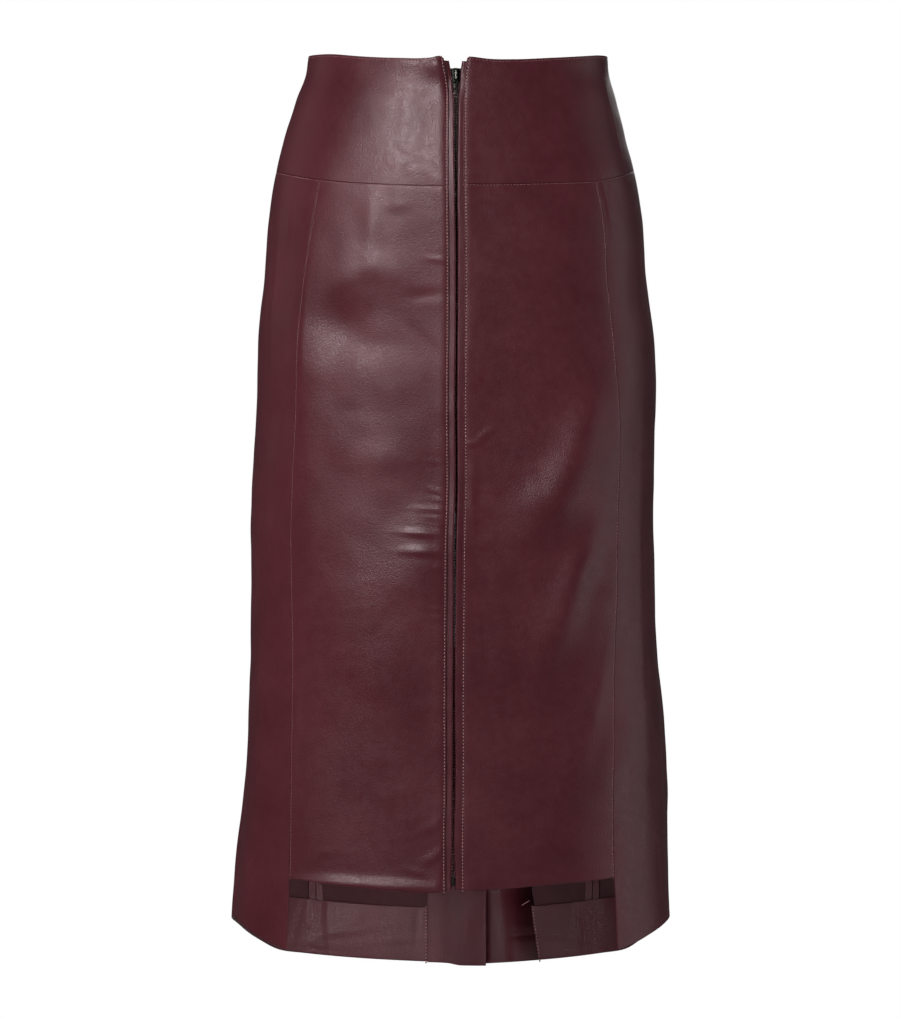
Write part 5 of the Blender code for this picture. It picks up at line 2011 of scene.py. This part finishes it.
    def add_slider(self) -> None:
        """Adds the slider: two plates with rails, the wedge between them, and the crown."""
        outline = self.slider_outline()
        front, back = self.front_plate, self.back_plate
        shapes = [
            Plate((outline,), *front, soft=0.2 * MM).mesh(),
            Plate((outline,), *back, soft=0.2 * MM).mesh(),
        ]
        wedge = [(0.0, -0.3 * MM), (1.5 * MM, -1.2 * MM), (0.5 * MM, -4.6 * MM)]
        wedge += [(-0.5 * MM, -4.6 * MM), (-1.5 * MM, -1.2 * MM)]
        depths = (front[1] - self.overlap, back[0] + self.overlap)
        shapes.append(Plate((rounded(wedge, 0.4 * MM),), *depths, soft=0.05 * MM).mesh())
        for side in (-1, 1):
            outer = side * (self.slider_half_width - 0.35 * MM)
            mouth = side * (self.slider_half_width - 1.0 * MM)
            rail = [(outer, -2.6 * MM), (mouth, -6.2 * MM), (mouth, -11.4 * MM)]
            inner = side * self.rail_width
            rail += [(mouth - inner, -11.4 * MM), (mouth - inner, -6.0 * MM)]
            rail += [(outer - inner, -2.6 * MM)]
            front_rail = (front[1] - self.overlap, front[1] + self.rail_height)
            back_rail = (back[0] - self.rail_height, back[0] + self.overlap)
            for low, high in (front_rail, back_rail):
                shapes.append(Plate((rounded(rail, 0.2 * MM),), low, high, soft=0.08 * MM).mesh())
        top, out = self.crown_top, front[0] - self.crown_height
        bottom, foot = top - self.crown_length, front[0] + 0.2 * MM
        thick = self.crown_thickness
        arch = [(foot, top), (out, top - 0.4 * MM), (out, bottom + 0.4 * MM), (foot, bottom)]
        inside = [
            (front[0] - 0.15 * MM, top - 1.35 * MM),
            (out + thick, top - 1.5 * MM),
            (out + thick, bottom + 1.5 * MM),
            (front[0] - 0.15 * MM, bottom + 1.35 * MM),
        ]
        loops = (rounded(arch, 1.2 * MM, 4), rounded(inside, 0.6 * MM, 3))
        half, aside = self.crown_half_width, self.crown_aside
        crown = Plate(loops, aside - half, aside + half, 0.22 * MM, Plane.SIDE).mesh()
        matrix = self.slider_frame()
        # The plates, rails and wedge take the near-black gunmetal, painted shade as on the shaded
        # teeth; the crown takes the lighter gunmetal.
        body = fused("zip_slider_body", shapes, matrix, self.finishes["tooth"])
        body.data.materials.append(self.finishes["bright"])
        start = len(body.data.polygons)
        mesh = bmesh.new()
        mesh.from_mesh(body.data)
        crown.transform(matrix)
        mesh.from_mesh(crown)
        mesh.faces.ensure_lookup_table()
        for face in mesh.faces[start:]:
            face.material_index = 1
            face.smooth = True
        mesh.to_mesh(body.data)
        mesh.free()
        bpy.data.meshes.remove(crown)
        body.data.set_sharp_from_angle(angle=SHARP)
        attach(body, "skirt")
        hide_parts("zip_slider")
        LOG.info("zip_slider_body: %d faces", len(body.data.polygons))

    def add_pull(self) -> None:
        """Adds the pull, which hangs from its bar in the crown."""
        wide, slot, end = self.pull_half_width, self.pull_slot_half_width, -self.pull_length
        half_thick = self.pull_thickness / 2
        right = [(wide, 0.44 * MM), (wide, -5.6 * MM), (wide - 0.35 * MM, -8.0 * MM)]
        right += [(wide - 0.1 * MM, end)]
        left = [(-x, z) for x, z in reversed(right)]
        outer = left[-1:] + right + left[:-1]
        window = [(-slot, -0.5 * MM), (slot, -0.5 * MM)]
        window += [(slot, -self.pull_slot_end), (-slot, -self.pull_slot_end)]
        eye = [(-0.6 * MM, -8.4 * MM), (0.6 * MM, -8.4 * MM)]
        eye += [(0.6 * MM, -10.8 * MM), (-0.6 * MM, -10.8 * MM)]
        loops = (rounded(outer, 0.8 * MM), rounded(window, 0.5 * MM), rounded(eye, 0.5 * MM))
        tab = Plate(loops, -half_thick, half_thick, soft=0.2 * MM).mesh()
        pin = bar(self.pull_bar, 2 * wide)
        matrix = self.slider_frame().to_quaternion().to_matrix().to_4x4()
        matrix.translation = self.pull_axis
        piece = fused("zip_pull_tab", [tab, pin], matrix, self.finishes["metal"])
        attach(piece, "zip_pull")
        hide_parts("zip_pull")
        LOG.info("zip_pull_tab: %d faces", len(piece.data.polygons))

    def add_box(self) -> None:
        """Adds the box that holds the zip's lower ends, with its ridge and flared foot."""
        front = self.front_plate[1]
        wide, end, ridge = self.box_half_width, -self.box_length, self.ridge_half_width
        base = [(-wide, 0.0), (wide, 0.0), (wide, end), (-wide, end)]
        foot = end + self.foot_length
        flare = ridge + self.foot_extra
        ridge_depths = (front - self.ridge_height, front + 0.2 * MM)
        rib = [(-ridge, -0.6 * MM), (ridge, -0.6 * MM), (ridge, foot), (flare, end + 0.2 * MM)]
        rib += [(-flare, end + 0.2 * MM), (-ridge, foot)]
        shapes = [
            Plate((rounded(base, 0.6 * MM),), front, front + self.box_depth, soft=0.3 * MM).mesh(),
            Plate((rounded(rib, 0.4 * MM),), *ridge_depths, soft=0.25 * MM).mesh(),
        ]
        piece = fused("zip_box", shapes, self.frame_at(self.box_top), self.finishes["bright"])
        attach(piece, "skirt")
        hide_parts("zip_bottom_box")
        LOG.info("zip_box: %d faces", len(piece.data.polygons))

    def build(self) -> None:
        """Builds the whole zip."""
        self.add_strips()
        self.add_teeth()
        self.add_slider()
        self.add_pull()
        self.add_box()


@dataclass(frozen=True)
class Softbox:
    """A soft studio light, placed by the way it shines from."""

    name: str
    azimuth_deg: float
    level: float
    distance: float
    width: float
    height: float
    power: float
    spread_deg: float = 180.0
    shines: bool = True
    aim: tuple[float, float, float] = (0.0, 0.0, -0.36)

    def build(self) -> None:
        """Adds the light at its level, turned to its aim."""
        lamp = bpy.data.lights.new(self.name, "AREA")
        lamp.shape = "RECTANGLE"
        lamp.size = self.width
        lamp.size_y = self.height
        lamp.energy = self.power
        lamp.spread = self.spread_deg * DEG
        thing = placed(self.name, lamp)
        azimuth = self.azimuth_deg * DEG
        x, y = math.sin(azimuth) * self.distance, -math.cos(azimuth) * self.distance
        thing.location = (x, y, self.level)
        way = thing.location - Vector(self.aim)
        thing.rotation_euler = way.to_track_quat("Z", "Y").to_euler()
        thing.visible_camera = False
        thing.visible_glossy = self.shines


@dataclass
class Studio:
    """Camera, floor, lights and background."""

    width_px: int = 900
    height_px: int = 1018
    metres_per_px: float = 0.000849
    camera_distance: float = 7.0
    middle_x_px: float = 455.0
    waist_row_px: float = 56.0
    sensor: float = 36.0
    floor_height: float = -0.95
    floor_radius: float = 2.2
    floor_fade: tuple[float, float] = (0.7, 2.1)
    softboxes: tuple[Softbox, ...] = (
        Softbox("key_high", -20, 0.95, 2.4, 0.6, 0.5, 5.0, 75.0, aim=(0.0, 0.0, -0.22)),
        Softbox("key_low", -26, 0.66, 2.4, 0.5, 0.4, 2.5, 75.0, aim=(0.0, 0.0, -0.22)),
        Softbox("left_wide", -45, 0.5, 2.4, 0.6, 0.9, 3.6),
        Softbox("left_fill", -75, -0.1, 2.4, 0.8, 1.2, 12.0, shines=False),
        Softbox("left_rim", -108, 0.5, 2.4, 1.2, 1.4, 2.2),
        Softbox("right_edge", 92, -0.2, 2.4, 1.4, 2.2, 8.0),
        Softbox("right_low", 65, -0.78, 2.0, 0.8, 0.3, 2.5),
        Softbox("low_fill", -35, -0.85, 1.8, 0.6, 0.15, 2.5, shines=False),
        Softbox(
            "inner_fill", -20, -0.755, 0.12, 0.16, 0.02, 0.065, 100.0, False, (-0.07, 0.13, -0.75)
        ),
        Softbox(
            "inner_glint_right", 25, -0.757, 0.12, 0.05, 0.01, 0.027, 90.0,
            aim=(-0.11, 0.12, -0.76),
        ),
        Softbox(
            "inner_glint_left", -48, -0.757, 0.12, 0.05, 0.01, 0.009, 90.0,
            aim=(0.11, 0.12, -0.76),
        ),
        Softbox("back_high", 165, 0.80, 2.6, 1.0, 0.8, 22.0),
        Softbox("back_left", 215, 0.10, 2.6, 0.8, 1.2, 9.0, shines=False),
    )
    ambient: float = 0.22
    mirrored: float = 0.05
    background: float = 1.0

    def build(self) -> None:
        """Sets up everything that isn't the skirt."""
        self.add_camera()
        self.add_floor()
        self.add_world()
        for softbox in self.softboxes:
            softbox.build()
        view = bpy.context.scene.view_settings
        view.view_transform = "Standard"
        view.look = "None"

    def add_camera(self) -> None:
        """Adds a level camera that looks straight at the front."""
        data = bpy.data.cameras.new("camera")
        data.sensor_width = self.sensor
        tall = self.height_px * self.metres_per_px
        data.lens = self.sensor * self.camera_distance / tall
        camera = placed("camera", data)
        x = (self.width_px / 2 - self.middle_x_px) * self.metres_per_px
        z = -(self.height_px / 2 - self.waist_row_px) * self.metres_per_px
        camera.location = (x, -self.camera_distance, z)
        camera.rotation_euler = (math.pi / 2, 0.0, 0.0)
        bpy.context.scene.camera = camera

    def add_floor(self) -> None:
        """Adds a pale round floor that fades out into the background."""
        mesh = bmesh.new()
        bmesh.ops.create_circle(mesh, cap_ends=True, segments=96, radius=self.floor_radius)
        data = meshed("floor", mesh)
        floor = placed("floor", data)
        floor.location = (0.0, 0.0, self.floor_height)
        material, board, shader = Finishes.start("pale_floor")
        shader["Base Color"].default_value = (0.86, 0.86, 0.86, 1.0)
        shader["Roughness"].default_value = 0.9
        coords = board.get("Object", "ShaderNodeTexCoord")
        away = board.get("Value", "ShaderNodeVectorMath", {0: coords}, operation="LENGTH")
        fade = board.spread(away, *self.floor_fade, 1.0, 0.0)
        glossy = board.get("Is Glossy Ray", "ShaderNodeLightPath")
        unseen = board.spread(glossy, 0.0, 1.0, 1.0, 0.15)
        board.tree.links.new(board.math("MULTIPLY", fade, unseen), shader["Alpha"])
        data.materials.append(material)

    def add_world(self) -> None:
        """Sets a white background that lights the scene only softly."""
        world = bpy.data.worlds.new("studio")
        world.use_nodes = True
        bpy.context.scene.world = world
        board = Board(world.node_tree)
        shader = world.node_tree.nodes["Background"].inputs
        shader["Color"].default_value = (1.0, 1.0, 1.0, 1.0)
        ray = board.add("ShaderNodeLightPath").outputs
        soft = board.spread(ray["Is Glossy Ray"], 0.0, 1.0, self.ambient, self.mirrored)
        seen = self.background - self.ambient
        strength = board.math("MULTIPLY_ADD", ray["Is Camera Ray"], seen, soft)
        board.tree.links.new(strength, shader["Strength"])


def main() -> None:
    """Loads the frame, builds every piece on it and logs the sizes that the pieces were cut to."""
    logging.basicConfig(level=logging.INFO, format="%(message)s")
    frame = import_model()
    Studio().build()
    form = HollowForm()
    pattern = Pattern(form)
    finishes = Finishes().materials
    leather = SkirtBody(form, pattern)
    leather.build(finishes)
    leather.sew(StitchMaker(finishes))
    ZipFastener(form, pattern, finishes, Vector(frame["joints"][0]["pos_m"])).build()


if __name__ == "__main__":
    main()
